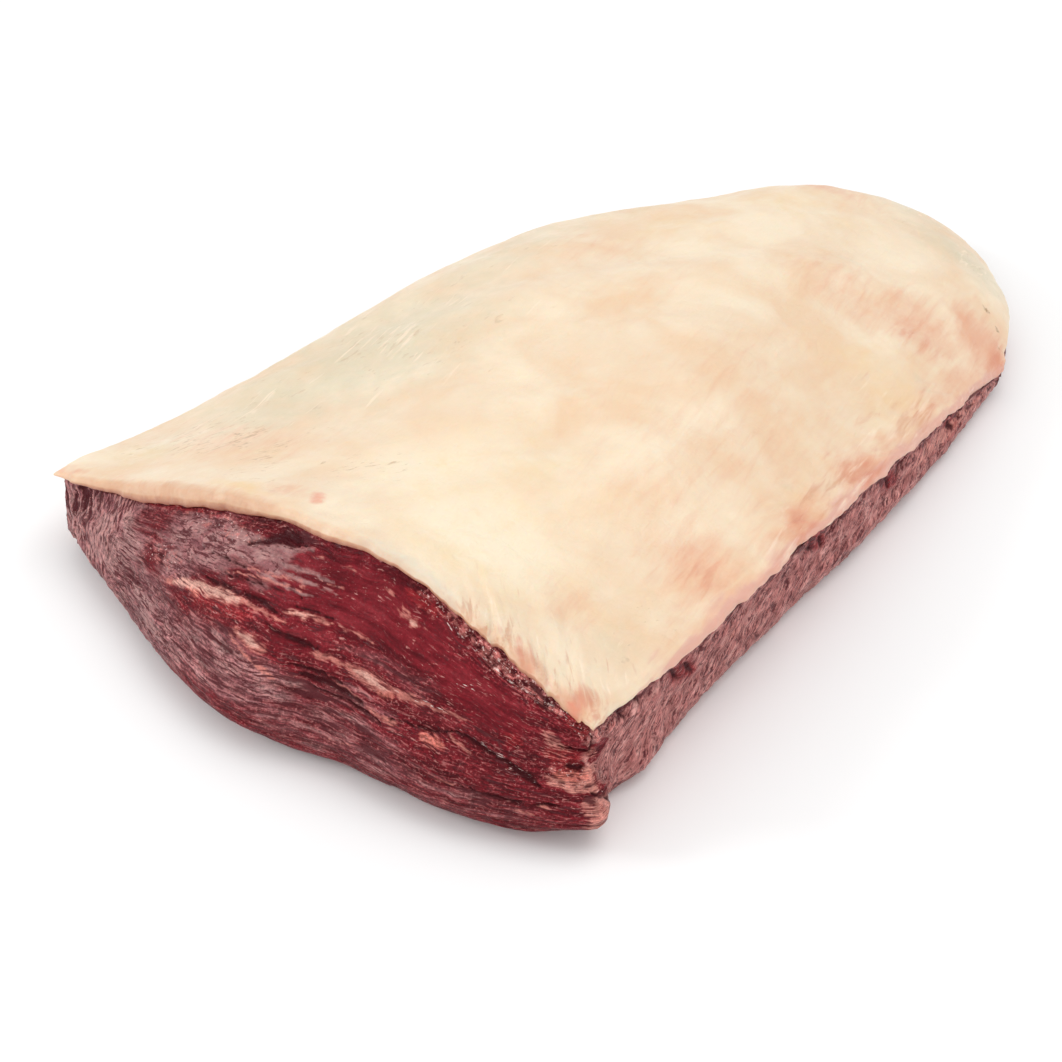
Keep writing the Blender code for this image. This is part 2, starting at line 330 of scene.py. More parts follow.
lean = {
    "columns": {"near": 400, "right": 280, "far": 52, "left": 88},
    "rowsUp": 100,
    "rowsUnder": 10,
    # the lobe at the foot of the corner, the notch beside it and a flap beyond: place, reach and push
    "swellings": [
        ((98, -8, 10), (14, 10, 7), (9.6, -1.6, 0)), ((96, 7, 8), (12, 6, 9), (-3.8, 1, 0)),
        ((92, 22, 3), (10, 9, 7), (1.4, 0, 0)),
    ],
    "faceRun": (190, 66),  # mm that the shares across the cut face and up it stand for
    "wear": 90,  # passes that round the near right corner
    "wearReach": 9,
    "footMiddle": (10, 130, 0),  # where the triangles of the flat foot meet
    "mapStrips": {"near": (0.62, 1), "right": (0.42, 0.61), "far": (0.34, 0.41), "left": (0.23, 0.33)},
    "markShake": (0.45, 2.7, (4, 5, 6)),  # mm, mm and shifts of the noise that makes marks ragged
    "patchShake": 2.6,  # mm that the blotches push the patches about, along the cut face
    "strandShake": 0.02,  # and the start of the strands, in shares
    "endLean": math.radians(-26),  # how far the strands of the left end lean from upright
    "sideLean": math.radians(44),  # and the strokes on the uncut sides
    "strokeStretch": (1.4, 1),  # how much they are drawn together, on the uncut sides and on the cut
    # shares along the cut face between which its looks end at the corner, its bundles turn into the
    # end's strands, and those open into folds
    "cutEnds": (1.022, 0.978), "strandsStart": (0.225, 0.165), "foldsStart": (0.13, 0.06),
    # Noises: how strong, the length of one bump in mm (along, across, and 9 for the axis that stands
    # still), octaves and shift. These follow the surface itself,
    "cutEdge": ((0.03, 7, 3, 19),), "wander": ((0.9, 24, 1, 7), (0.5, 7, 2, 12)),
    "blotch": ((1, 11, 3, 8),), "patchEdge": ((1.2, 8, 3, 10),), "marbled": ((1, 6, 2, 21),),
    "gappy": ((1, 8, 1, 22),), "folded": ((1, 7, 1, 13),), "splitWhere": ((1, 12, 1, 20),),
    "notchDepth": ((3, 7, 1, 23),), "swell": ((0.3, 14, 1, 9),), "sideSwell": ((0.25, 5, 2, 7),),
    "dried": ((0.2, 1.9, 2, 25),), "knobs": ((0.8, 2.8, 2, 10),), "pits": ((1, 2.1, 2, 11),),
    # these the fibres of the cut face,
    "broad": ((0.6, (34, 10, 9), 1, 0),), "bundles": ((0.3, (19, 3.4, 9), 2, 1),),
    "grooves": ((0.3, (13, 2.4, 9), 1, 3),), "thin": ((0.15, (5, 1.4, 9), 2, 2),),
    "splits": ((1, (15, 1.9, 9), 2, 19),),
    # and these the strokes of the end's strands and of the uncut sides.
    "strands": ((0.22, (14, 2.6, 9), 1, 4), (0.16, (6, 1.3, 9), 2, 6)),
    "strandGaps": ((1, (9, 1.9, 9), 2, 15),), "sideStrokes": ((0.18, (7, 1.7, 9), 2, 8),),
    "cuts": ((1, (6, 1.3, 9), 2, 17),), "notches": ((1, (6, 2.2, 9), 2, 18),),
    "levels": {  # the two levels between which a noise turns from nothing to full
        "marbled": (-0.1, 0.35), "gappy": (-0.2, 0.3), "folded": (-0.2, 0.2), "pits": (0.1, 0.6),
        "splits": (0.28, 0.5), "splitWhere": (-0.1, 0.3), "cuts": (0.34, 0.55), "notches": (-0.1, 0.3),
    },
    "notchFall": (5, 2),  # mm below the rim between which the notches start
    # mm: how deep fissures are, how much more on the strands and on the folds, how deep pits are,
    # how far marbling and silvery skin stand out, and how far below the rim all this is in full
    "fissureDepth": (0.5, -0.25, 0.2), "pitDepth": 0.45, "veinRise": 0.3, "silverRise": 0.2,
    "fullFall": 1.2,
    "smoothing": 0.7,  # how much of the fine relief is lost on the smooth patches
}
# Marks on the lean: half width in mm and the places they run through, in thousandths along the cut
# face and up the wall. Those past 1000 run on along the right side.
leanMarks = {
    "vein": [
        (0.9, (335, 658), (360, 690), (385, 716)), (1.7, (385, 716), (429, 732), (472, 746)),
        (0.5, (472, 750), (500, 748), (540, 735)), (1.6, (479, 652), (500, 645), (525, 632)),
        (0.4, (465, 640), (490, 610), (510, 585), (530, 565)), (0.8, (520, 578), (545, 552)),
        (0.8, (580, 668), (605, 668), (629, 667)), (1.6, (629, 667), (656, 660), (695, 660)),
        (0.9, (690, 662), (715, 673), (748, 685)), (0.5, (748, 685), (774, 696), (800, 700)),
        (0.7, (524, 764), (565, 774), (594, 772)), (0.35, (594, 772), (630, 775), (662, 770)),
        (0.4, (425, 812), (470, 826), (542, 836)), (0.3, (450, 845), (500, 855), (550, 858)),
        (0.35, (653, 930), (672, 922)), (0.4, (684, 908), (703, 902)), (0.9, (703, 893), (713, 889)),
        (0.3, (672, 899), (700, 893), (730, 893)), (0.3, (572, 871), (600, 877)),
        (0.35, (582, 934), (603, 931)), (0.35, (533, 934), (556, 930)), (0.3, (536, 850), (553, 848)),
        (0.7, (674, 562), (708, 566)), (0.4, (620, 600), (648, 582), (674, 562)),
        (0.45, (900, 430), (917, 421)), (0.35, (870, 395), (899, 366)), (0.3, (760, 420), (790, 415)),
        (0.3, (620, 360), (660, 380)), (0.45, (780, 622), (800, 605), (812, 585)),
    ],
    "pale": [
        (1.2, (350, 680), (385, 714), (429, 734), (465, 745)), (0.9, (484, 652), (515, 640)),
        (0.7, (640, 666), (690, 662)), (0.5, (703, 893), (713, 889)), (0.4, (536, 770), (575, 775)),
    ],
    "flush": [
        (2, (400, 665), (440, 695), (490, 722)), (1.3, (685, 952), (720, 955), (747, 952)),
        (2, (958, 925), (985, 885)), (1.3, (945, 610), (965, 625), (978, 610)),
        (2.2, (925, 700), (950, 690), (975, 700)), (3.4, (1150, 860), (1190, 700)),
        (3.4, (1440, 970), (1480, 760)), (3, (1630, 950), (1665, 700)), (3.2, (1820, 900), (1860, 550)),
        (0.8, (190, 965), (250, 965), (310, 958)), (1.4, (860, 720), (880, 700)),
    ],
    "orange": [
        (1.5, (744, 574), (771, 566)), (1, (679, 642), (700, 650)), (1.2, (375, 690), (400, 700)),
        (1.2, (935, 600), (965, 590), (985, 600)),
    ],
    # Painted shade: dark lines down in the seams and grooves, which are also cut into the mesh, and under
    # the fat's edge.
    "dark": [
        (1.5, (455, 945), (472, 955), (500, 962)), (0.7, (428, 905), (445, 925), (470, 945)),
        (0.5, (440, 930), (475, 937), (515, 952)), (0.4, (397, 760), (430, 768), (459, 766)),
        (0.5, (465, 775), (495, 772), (530, 752)), (0.3, (425, 800), (470, 812), (545, 822)),
        (0.22, (360, 835), (410, 842), (460, 838)), (0.6, (515, 715), (550, 695), (588, 684)),
        (0.8, (572, 592), (614, 588), (663, 566)), (0.4, (590, 560), (640, 552), (690, 538)),
        (0.4, (555, 612), (590, 615), (630, 605)), (0.35, (540, 790), (575, 790), (600, 786)),
        (0.3, (700, 575), (750, 600), (786, 635)), (0.5, (786, 650), (815, 640), (850, 618)),
        (0.75, (850, 618), (882, 584), (912, 522)), (0.25, (185, 984), (250, 984), (310, 974)),
        (1.1, (1000, 440), (1018, 360), (1045, 280)), (0.5, (955, 645), (970, 632), (983, 645)),
        (0.3, (945, 755), (970, 745), (1000, 760)), (0.4, (980, 500), (988, 485), (1000, 450)),
        (0.35, (995, 880), (1000, 800), (990, 745)), (0.3, (800, 430), (860, 420), (930, 440)),
        (0.6, (1217, 990), (1205, 820)), (0.5, (1286, 930), (1272, 760)), (0.6, (1385, 990), (1372, 800)),
        (0.7, (1402, 980), (1389, 860)), (0.6, (1512, 990), (1498, 780)), (0.8, (1530, 980), (1517, 820)),
        (0.6, (1684, 980), (1670, 720)), (0.7, (1700, 980), (1689, 800)), (0.6, (1868, 970), (1858, 700)),
        (0.7, (1150, 900), (1163, 720)), (0.8, (1176, 860), (1190, 680)), (0.6, (1045, 990), (1060, 800)),
        (0.6, (1075, 970), (1088, 840)), (0.8, (1440, 980), (1452, 780)), (0.8, (1466, 920), (1480, 700)),
        (0.8, (1636, 960), (1650, 700)), (0.9, (1824, 900), (1840, 600)),
    ],
    "silver": [
        (2.2, (175, 850), (205, 740), (245, 630)), (2.6, (270, 510), (310, 450), (355, 390)),
        (1, (447, 918), (480, 925), (530, 945)), (0.8, (490, 892), (530, 890), (580, 880)),
        (0.6, (490, 868), (540, 862), (590, 852)), (0.6, (470, 842), (520, 834), (560, 826)),
    ],
    # Painted highlights: wet glints along the seams and ridges.
    "glint": [
        (0.5, (750, 948), (800, 925), (860, 915), (930, 915), (985, 885)),
        (0.5, (774, 795), (800, 815), (832, 833)),
        (0.5, (795, 660), (820, 645), (853, 628), (885, 592), (906, 535)),
        (0.6, (862, 600), (876, 560), (890, 540)), (0.5, (985, 640), (1000, 600)),
        (0.4, (600, 575), (640, 575)), (0.35, (700, 668), (745, 690), (790, 703)),
    ],
}
# Patches on the lean: the same two places, half widths in mm along and up, strength.
leanPatches = {
    "dry": [
        (100, 550, 34, 44, 1), (300, 430, 25, 15, 1), (340, 880, 20, 10, 1), (450, 900, 11, 4.5, 0.95),
        (330, 760, 11, 7, 0.9), (470, 500, 24, 9, 0.75), (460, 840, 9, 3, 0.5), (620, 400, 28, 9, 0.45),
        (800, 360, 22, 7, 0.3), (660, 570, 12, 3, 0.4), (700, 730, 16, 4, 0.3),
    ],
    "fresh": [
        (235, 870, 7, 8, 0.5), (285, 730, 7, 7, 0.4), (445, 690, 14, 3.6, 1), (240, 960, 14, 2.5, 0.8),
        (460, 965, 9, 2.4, 1), (360, 960, 12, 2, 0.8),
    ],
    "silver": [
        (150, 640, 6, 15, 0.9), (200, 550, 7, 13, 0.9), (50, 600, 14, 20, 0.7), (412, 909, 6, 2.6, 1),
        (329, 863, 3, 2.2, 0.7), (297, 890, 3, 2.2, 0.7), (365, 872, 3, 2, 0.8), (324, 757, 4, 2.6, 0.8),
        (375, 800, 5, 2, 0.6),
    ],
    "smooth": [
        (640, 870, 30, 8, 1), (470, 870, 15, 6, 0.9), (820, 800, 16, 6, 0.9), (570, 800, 14, 4, 0.7),
        (560, 700, 9, 3, 0.8), (412, 909, 7, 3, 1), (324, 757, 5, 3, 1), (480, 925, 8, 2, 0.8),
        (230, 700, 4, 10, 0.6), (310, 450, 8, 6, 0.8), (330, 860, 14, 7, 0.6), (390, 810, 12, 5, 0.6),
        (300, 660, 8, 5, 0.5),
    ],
    "knobbly": [
        (760, 965, 12, 2.2, 0.8), (850, 955, 14, 3, 1), (930, 945, 12, 3.6, 1), (985, 900, 5, 7, 0.9),
        (960, 600, 8, 5, 0.6), (1010, 500, 6, 10, 0.4), (1030, 900, 8, 5, 0.8), (990, 360, 6, 8, 0.3),
        (300, 740, 9, 4, 0.5), (370, 930, 20, 2.5, 0.5),
    ],
    "salmon": [
        (928, 765, 3.2, 3, 0.8), (960, 545, 8, 2.2, 1), (980, 420, 6, 5, 0.9), (997, 330, 8, 9, 1),
        (985, 720, 4, 4, 0.6), (930, 720, 5, 5, 0.45), (986, 580, 2.5, 6, 1), (1280, 660, 7, 9, 0.5),
        (1840, 660, 30, 14, 0.8),
    ],
}


wallLines = {side: evenly(rolls[side], count) for side, count in lean["columns"].items()}
for side in ("far", "left"):
    # The strokes start anew at the left corners, within a strip too thin to see.
    wallLines[side][1] *= 0.02
upShares = np.concatenate([
    np.linspace(1, form["underside"], lean["rowsUp"] + 1),
    np.linspace(form["underside"], 0, lean["rowsUnder"] + 1)[1:],
])


def rimWaves(rim):
    # Where the fat's edge on the cut face runs a little high or low.
    onNear = step(12, -1, rim[..., 1])
    return onNear * clouds(rim, form["rimWaves"])


def leanTop():
    # The meat's rim, and the lean's top edge where the fat's own edge ends.
    rim = ringOf(backOf, wallLines)
    way = ringOf(lambda u, v: wayOut(backOf(u, v), u, v), wallLines)
    lifted = rim + np.outer(sideRing("lift") + rimWaves(rim), (0, 0, 1))
    return rim, lifted - way * (sideRing("edge") + sideRing("hang") + form["gap"])[:, None]


def wallBared():
    # The share of the wall's rise that the fat's hanging edge leaves bare.
    rise = leanTop()[1][:, 2] - sideRing("bellyHeight")
    return rise / (rise + sideRing("hang"))


bareShares = wallBared()


def bareWall():
    # Rings of the lean's side from its rim down to the flat foot, before any relief.
    rim, top = leanTop()
    top = top - outward(rim) * sideRing("lip")[:, None]
    away = outward(top)
    belly, bellyHeight, tuck = (sideRing(key) for key in ("belly", "bellyHeight", "tuck"))
    rows = []
    for share in upShares:
        if share >= form["underside"]:
            up = (share - form["underside"]) / (1 - form["underside"])
            out = belly * (1 - (up * bareShares) ** 2)
            height = bellyHeight + (top[:, 2] - bellyHeight) * up
        else:
            turn = share / form["underside"] * np.pi / 2
            out = belly - tuck * (1 - math.sin(turn))
            height = bellyHeight * (1 - math.cos(turn))
        rows.append(np.column_stack([top[:, :2], height]) + away * out[:, None])
    rows = np.array(rows)
    swelling = sum(
        np.exp(-(((rows - place) / reach) ** 2).sum(axis=-1))[..., None] * push
        for place, reach, push in lean["swellings"]
    )
    return wornCorner(rows + swelling)


def wornCorner(rows):
    # The near right corner is rounded, and more so towards the foot.
    corner = lean["columns"]["near"]
    distance = np.linalg.norm(rows[0] - rows[0, corner], axis=-1)
    worn = np.exp(-((distance / lean["wearReach"]) ** 2)) * atLeast(0.1, step(1, 0.4, upShares))[:, None]
    for _ in range(lean["wear"]):
        between = (np.roll(rows, 1, 1) + np.roll(rows, -1, 1)) / 2
        rows = rows + 0.5 * worn[..., None] * (between - rows)
    return rows


def trueUp(bare):
    # The shares up the wall that its rows lie at, counted as if the fat left all of it bare.
    under = form["underside"]
    return np.where(upShares > under, under + (upShares - under) * bare, upShares)


def spots(places, key):
    # 1 where a noise of the lean is over its higher level, and 0 where it is under its lower one.
    return step(*lean["levels"][key], clouds(places, lean[key]))


def onWall(rows, share, up):
    # A place on the wall, from a share along the cut face and a share up.
    counts = lean["columns"]
    column = share * counts["near"] if share <= 1 else counts["near"] + (share - 1) * counts["right"]
    c = int(column)
    row = np.interp(-up, -trueUp(bareShares[c]), np.arange(len(upShares)))
    r = min(int(row), len(rows) - 2)
    f, g = column - c, row - r
    upper = rows[r, c] * (1 - f) + rows[r, c + 1] * f
    lower = rows[r + 1, c] * (1 - f) + rows[r + 1, c + 1] * f
    return upper * (1 - g) + lower * g


def facing(rows):
    # The outward direction at each point of the wall.
    alongRing = np.roll(rows, -1, 1) - np.roll(rows, 1, 1)
    normal = np.cross(np.gradient(rows, axis=0), alongRing)
    return normal / np.linalg.norm(normal, axis=-1, keepdims=True)


def markedOn(rows, marks):
    # 1 on the middle line of each mark, falling to 0 past its half width, with ragged edges.
    ragged = shaken(rows, *lean["markShake"])
    total = np.zeros(rows.shape[:2])
    for halfWidth, *places in marks:
        distance, along = nearLine(ragged, [onWall(rows, x / 1000, y / 1000) for x, y in places])
        taper = atLeast(0.35, np.sin(np.pi * np.clip(along, 0.02, 0.98)) ** 0.6)
        total = np.maximum(total, np.exp(-((distance / (halfWidth * 1.4 * taper)) ** 2)))
    return total


def patched(across, along, patches):
    # Each patch is full within 0.6 of its half widths, and gone past 1.25 of them.
    total = np.zeros(across.shape)
    for x, y, halfAcross, halfAlong, strength in patches:
        away = np.hypot((across - x) / halfAcross, (along - y) / halfAlong)
        total = np.maximum(total, strength * step(1.25, 0.6, away))
    return total


def followed(rows, ringShare, up, onNear):
    # Places along the cut face's fibres and along the strokes, in mm, and the fall from the rim.
    lengths = np.linalg.norm(np.roll(rows, -1, 1) - rows, axis=-1).mean(0)
    around = np.cumsum(lengths) - lengths
    around = np.where(ringShare < 3, around, around - lengths.sum())
    drop = np.linalg.norm(np.diff(rows, axis=0), axis=-1)
    fall = np.concatenate([np.zeros((1, rows.shape[1])), np.cumsum(drop, axis=0)])
    wander = clouds(rows, lean["wander"])
    faceRun, faceRise = lean["faceRun"]
    leaning = np.where(ringShare < 0.5, lean["endLean"], lean["sideLean"])
    leaning = np.where(ringShare > 2, -lean["sideLean"], leaning)
    onSides, onCut = lean["strokeStretch"]
    stretch = onSides + (onCut - onSides) * onNear
    strokeAlong = stretch * (around * np.sin(leaning) - fall * np.cos(leaning))
    strokeAcross = around * np.cos(leaning) + fall * np.sin(leaning) + 0.3 * wander
    still = np.zeros(rows.shape[:2])
    fibreAlong = np.where(onNear > 0, ringShare * faceRun, around)
    fibre = np.stack([fibreAlong, up * faceRise + wander, still], axis=-1)
    return fibre, np.stack([strokeAlong, strokeAcross, still + 50], axis=-1), fall


def leanFields(rows):
    # Everything that relief and finish need to know about each point of the wall.
    counts = lean["columns"]
    sideShares = [k + np.arange(counts[side]) / counts[side] for k, side in enumerate(sideNames)]
    ringShare = np.broadcast_to(np.concatenate(sideShares), rows.shape[:2])
    up = np.stack([trueUp(bare) for bare in bareShares], axis=1)
    onNear = step(*lean["cutEnds"], ringShare + clouds(rows, lean["cutEdge"]))
    onNear = np.where(ringShare > 3, 0, onNear)
    fibre, stroke, fall = followed(rows, ringShare, up, onNear)
    fields = {"fibre": fibre, "stroke": stroke, "fall": fall, "up": up, "ringShare": ringShare}

    blotch = clouds(rows, lean["blotch"])
    faceRun, faceRise = lean["faceRun"]
    across = ringShare * faceRun + lean["patchShake"] * blotch
    along = up * faceRise + clouds(rows, lean["patchEdge"])
    for key, patches in leanPatches.items():
        places = [(x / 1000 * faceRun, y / 1000 * faceRise, *rest) for x, y, *rest in patches]
        fields[key] = patched(across, along, places) * (ringShare < 1.99)
    for key, marks in leanMarks.items():
        marked = markedOn(rows, marks) * (ringShare < 1.9)
        fields[key] = np.maximum(fields[key], marked) if key in fields else marked
    dry = fields["dry"] * (1 - fields.pop("fresh")) * onNear
    strandsAt = ringShare + lean["strandShake"] * blotch
    strand = np.maximum(1 - onNear, step(*lean["strandsStart"], strandsAt) * onNear)
    fields |= {"uncut": 1 - onNear, "dry": dry, "strand": strand}
    fields["ended"] = step(*lean["foldsStart"], ringShare)
    fields["fissure"] = fissures(rows, fields)
    # The left end's folds get painted shade in their fissures as well.
    fields["dark"] = np.maximum(fields["dark"], 0.5 * fields["fissure"] * fields["ended"])
    sleek = np.maximum.reduce([fields["smooth"], 0.8 * fields["vein"], 0.7 * fields["salmon"]])
    fields["rough"] = (1 - 0.65 * sleek) * atLeast(0.6, onNear)
    fields["marbled"] = spots(rows, "marbled") * (1 - 0.5 * dry) * onNear
    gappy = atLeast(0.45, spots(rows, "gappy"))
    fields["gappy"] = gappy * fields["rough"] * atLeast(0.3, np.maximum(dry, strand))
    fields["folded"] = dry * (1 - strand) * spots(rows, "folded")
    return fields


def fissures(rows, fields):
    # Gaps that open between bundles, between the end's strands and along the uncut sides' top: cut
    # into the mesh, and darkened with painted shade.
    stroke, strand, uncut, ended = (fields[key] for key in ("stroke", "strand", "uncut", "ended"))
    gaps = step(0.18 - 0.2 * ended, 0.5 - 0.3 * ended, clouds(stroke, lean["strandGaps"]))
    gaps *= atLeast(0.35, ended)
    cuts = 0.8 * spots(stroke, "cuts")
    notches = spots(stroke, "notches")
    notches *= step(*lean["notchFall"], fields["fall"] + clouds(rows, lean["notchDepth"]))
    splits = spots(fields["fibre"], "splits") * spots(rows, "splitWhere")
    total = np.maximum(cuts, notches) * uncut + gaps * strand * (1 - uncut) + 0.8 * splits * (1 - strand)
    return np.clip(total, 0, 1) * (1 - 0.8 * fields["smooth"]) * (1 - fields["vein"])


def leanRelief(rows, fields):
    # How far the surface stands out, in mm, and its fine part alone.
    fibre, stroke = fields["fibre"], fields["stroke"]
    uncut, strand, dry, ended = (fields[key] for key in ("uncut", "strand", "dry", "ended"))
    broad = clouds(fibre, lean["broad"]) + clouds(rows, lean["swell"])
    bundles = clouds(fibre, lean["bundles"]) - np.abs(clouds(fibre, lean["grooves"]))
    bundles += (0.5 + dry) * clouds(fibre, lean["thin"])
    strands = clouds(stroke, lean["strands"]) * (1 + 0.9 * ended)
    sides = clouds(rows, lean["sideSwell"]) + clouds(stroke, lean["sideStrokes"])
    fine = bundles * (1 - strand) + (strands * (1 - uncut) + sides * uncut) * strand
    fine += dry * clouds(rows, lean["dried"])
    pits = lean["pitDepth"] * spots(rows, "pits")
    fine += fields["knobbly"] * (clouds(rows, lean["knobs"]) - pits)
    fine *= 1 - lean["smoothing"] * fields["smooth"]
    deep, onStrands, onFolds = lean["fissureDepth"]
    fine -= (deep + onStrands * strand + onFolds * ended) * fields["fissure"] + fields["dark"]
    fine += lean["veinRise"] * fields["vein"] + lean["silverRise"] * fields["silver"]
    # The relief fades out at the rim and at the foot, and is weak round the left side.
    calm = step(0, lean["fullFall"], fields["fall"]) * step(0, 0.12, fields["up"])
    calm = calm * atLeast(0.3, step(0, 0.04, fields["ringShare"]) * (fields["ringShare"] < 3))
    return (broad + fine) * calm, fine * calm


def hiddenGrid():
    # The fat's underside away from the rim, and the way out there.
    lines = [np.linspace(0.03, 0.97, count + 1) for count in form["hiddenLines"]]
    points = backOf(*lines)
    way = wayOut(points, *lines)
    return points - way * fatDepth(*lines)[..., None], way


def addHidden(faces, flatMap, ring, counts, grid, places, side):
    # Adds a hidden grid and the triangles from a ring to it, facing up for side 1 and down for -1.
    shown = grid if side > 0 else grid.T
    addGrid(faces, flatMap, shown, places[shown])
    across, along = (count - 1 for count in grid.shape)
    shares = sharesRound(*counts), sharesRound(across, along, across, along)
    for triangle in zipped(ring, edgeRing(grid), *shares):
        faces.append(triangle[::side])
        flatMap.append(places[triangle[::side]].ravel())


def leanMeat():
    rows = bareWall()
    fields = leanFields(rows)
    relief, fine = leanRelief(rows, fields)
    rows = rows + facing(rows) * relief[..., None]
    # How deep each point lies in the fine relief; the finish turns it into painted shade in the grooves and
    # painted light on the ridges.
    fields["groove"] = np.clip(-fine / 0.7, -1, 1)
    rows[-1, :, 2] = 0
    rowCount, columnCount = rows.shape[:2]

    # The flat map: a strip for each side of the wall, and small places for what is hidden.
    numbers = np.arange(rowCount * columnCount).reshape(rowCount, columnCount)
    closed = np.concatenate([numbers, numbers[:, :1]], axis=1)
    faces, flatMap, start = [], [], 0
    for side in sideNames:
        count = lean["columns"][side]
        low, high = lean["mapStrips"][side]
        flat = np.meshgrid(np.linspace(0.005, 0.995, count + 1), np.linspace(high, low, rowCount))
        addGrid(faces, flatMap, closed[:, start:start + count + 1], np.stack(flat, axis=-1))
        start += count

    # The top is hidden under the fat, and the foot under everything: both are plain.
    hidden, way = hiddenGrid()
    hidden = hidden - way * form["gap"]
    grid = numbers.size + np.arange(hidden[..., 0].size).reshape(hidden.shape[:2])
    points = np.concatenate([rows.reshape(-1, 3), hidden.reshape(-1, 3), [lean["footMiddle"]]])
    counts = [lean["columns"][side] for side in sideNames]
    addHidden(faces, flatMap, numbers[0], counts, grid, planMap(points, (0.01, 0.01), 0.2), 1)
    footMap = planMap(points, (0.5, 0.01), 0.2)
    for here, after in zip(numbers[-1], np.roll(numbers[-1], -1)):
        triangle = [int(after), int(here), len(points) - 1]
        faces.append(triangle)
        flatMap.append(footMap[triangle].ravel())

    values = {}
    for key in sorted(set(fields) - {"fall", "up", "ringShare", "smooth", "ended"}):
        field = fields[key].reshape(numbers.size, -1)
        spare = np.zeros((len(points) - numbers.size, field.shape[1]))
        values[key] = np.concatenate([field, spare]).squeeze()
    return makePiece("leanMeat", points, faces, flatMap, values)


fat = {
    "lines": (262, 322),
    "crowding": 0.42,  # how much closer the lines lie at the rim
    "thick": 8,
    "rimThick": 3,
    "rimShare": 0.26,
    "rimRows": 7,
    "sideReach": 5,  # mm over which what a side says fades inwards
    "waveReach": 4,
    "raggedReach": 3,
    "flareReach": 4,
    "roundedOver": 0.8,  # the share of the edge's thickness over which its top is rounded
    "tuckedIn": 0.45,  # and the share of half of it that the edge runs back in underneath
    "markShake": (2.5, 9, (40, 41, 42)),  # mm, mm and shifts of the noise that makes marks ragged
    "swells": [(0.9, 74, 190, 0.4), (0.6, -58, 83, 2.1), (0.4, 41, -47, 4)],
    # the raised tip of the left end and the hollow behind it: place, reach and rise
    "tipSwellings": [((-92, 9), 10, 1.1), ((-92, 42), 16, -1.7)],
    "liftReach": 17,  # mm from the rim over which the lift dies away
    "flareBelow": 0.65,  # the share of the hanging edge's outward run that lies under its round
    # Noises, as for the lean: soft unevenness, the ragged rim, more of it on the right, its thickness,
    "uneven": ((0.5, 26, 2, 20), (0.16, 8, 2, 21), (0.05, 2.6, 1, 22)),
    "ragged": ((0.35, 4.5, 2, 23), (0.7, 15, 1, 24)), "raggedRight": ((0.5, 4, 2, 25), (0.6, 11, 1, 26)),
    "rimThickness": ((0.25, 5, 2, 27),),
    # and the creases of the fan and of the folds, each as the lines' sway, swells and sharp grooves.
    "fanCreases": (((2, 14, 1, 30),), ((1.4, 4.2, 2, 31),), ((1.1, 2.9, 1, 32),)),
    "foldCreases": (((3, 20, 1, 33),), ((0.5, 5, 2, 34),), ((0.45, 3.1, 1, 35),)),
}


def fatDepth(u, v):
    fromEdge = np.minimum(np.minimum(u, 1 - u)[:, None], np.minimum(v, 1 - v))
    return fat["rimThick"] + (fat["thick"] - fat["rimThick"]) * ease(fromEdge / fat["rimShare"])


def crowded(count):
    # Lines that lie closer together at both ends.
    at = np.linspace(0, 1, count + 1)
    return at - fat["crowding"] * np.sin(2 * np.pi * at) / (2 * np.pi)


def swellsAt(points):
    x, y = points[..., 0], points[..., 1]
    return sum(
        height * np.sin(2 * np.pi * (x / across + y / along) + phase)
        for height, across, along, phase in fat["swells"]
    )


def besideSides(top):
    # How far each point is from each side, over the surface.
    along, across = (np.linalg.norm(np.diff(top, axis=axis), axis=-1) for axis in (1, 0))
    fromNear = np.concatenate([np.zeros((len(top), 1)), np.cumsum(along, axis=1)], axis=1)
    fromLeft = np.concatenate([np.zeros((1, top.shape[1])), np.cumsum(across, axis=0)])
    return {
        "near": fromNear, "right": fromLeft[-1:] - fromLeft,
        "far": fromNear[:, -1:] - fromNear, "left": fromLeft,
    }


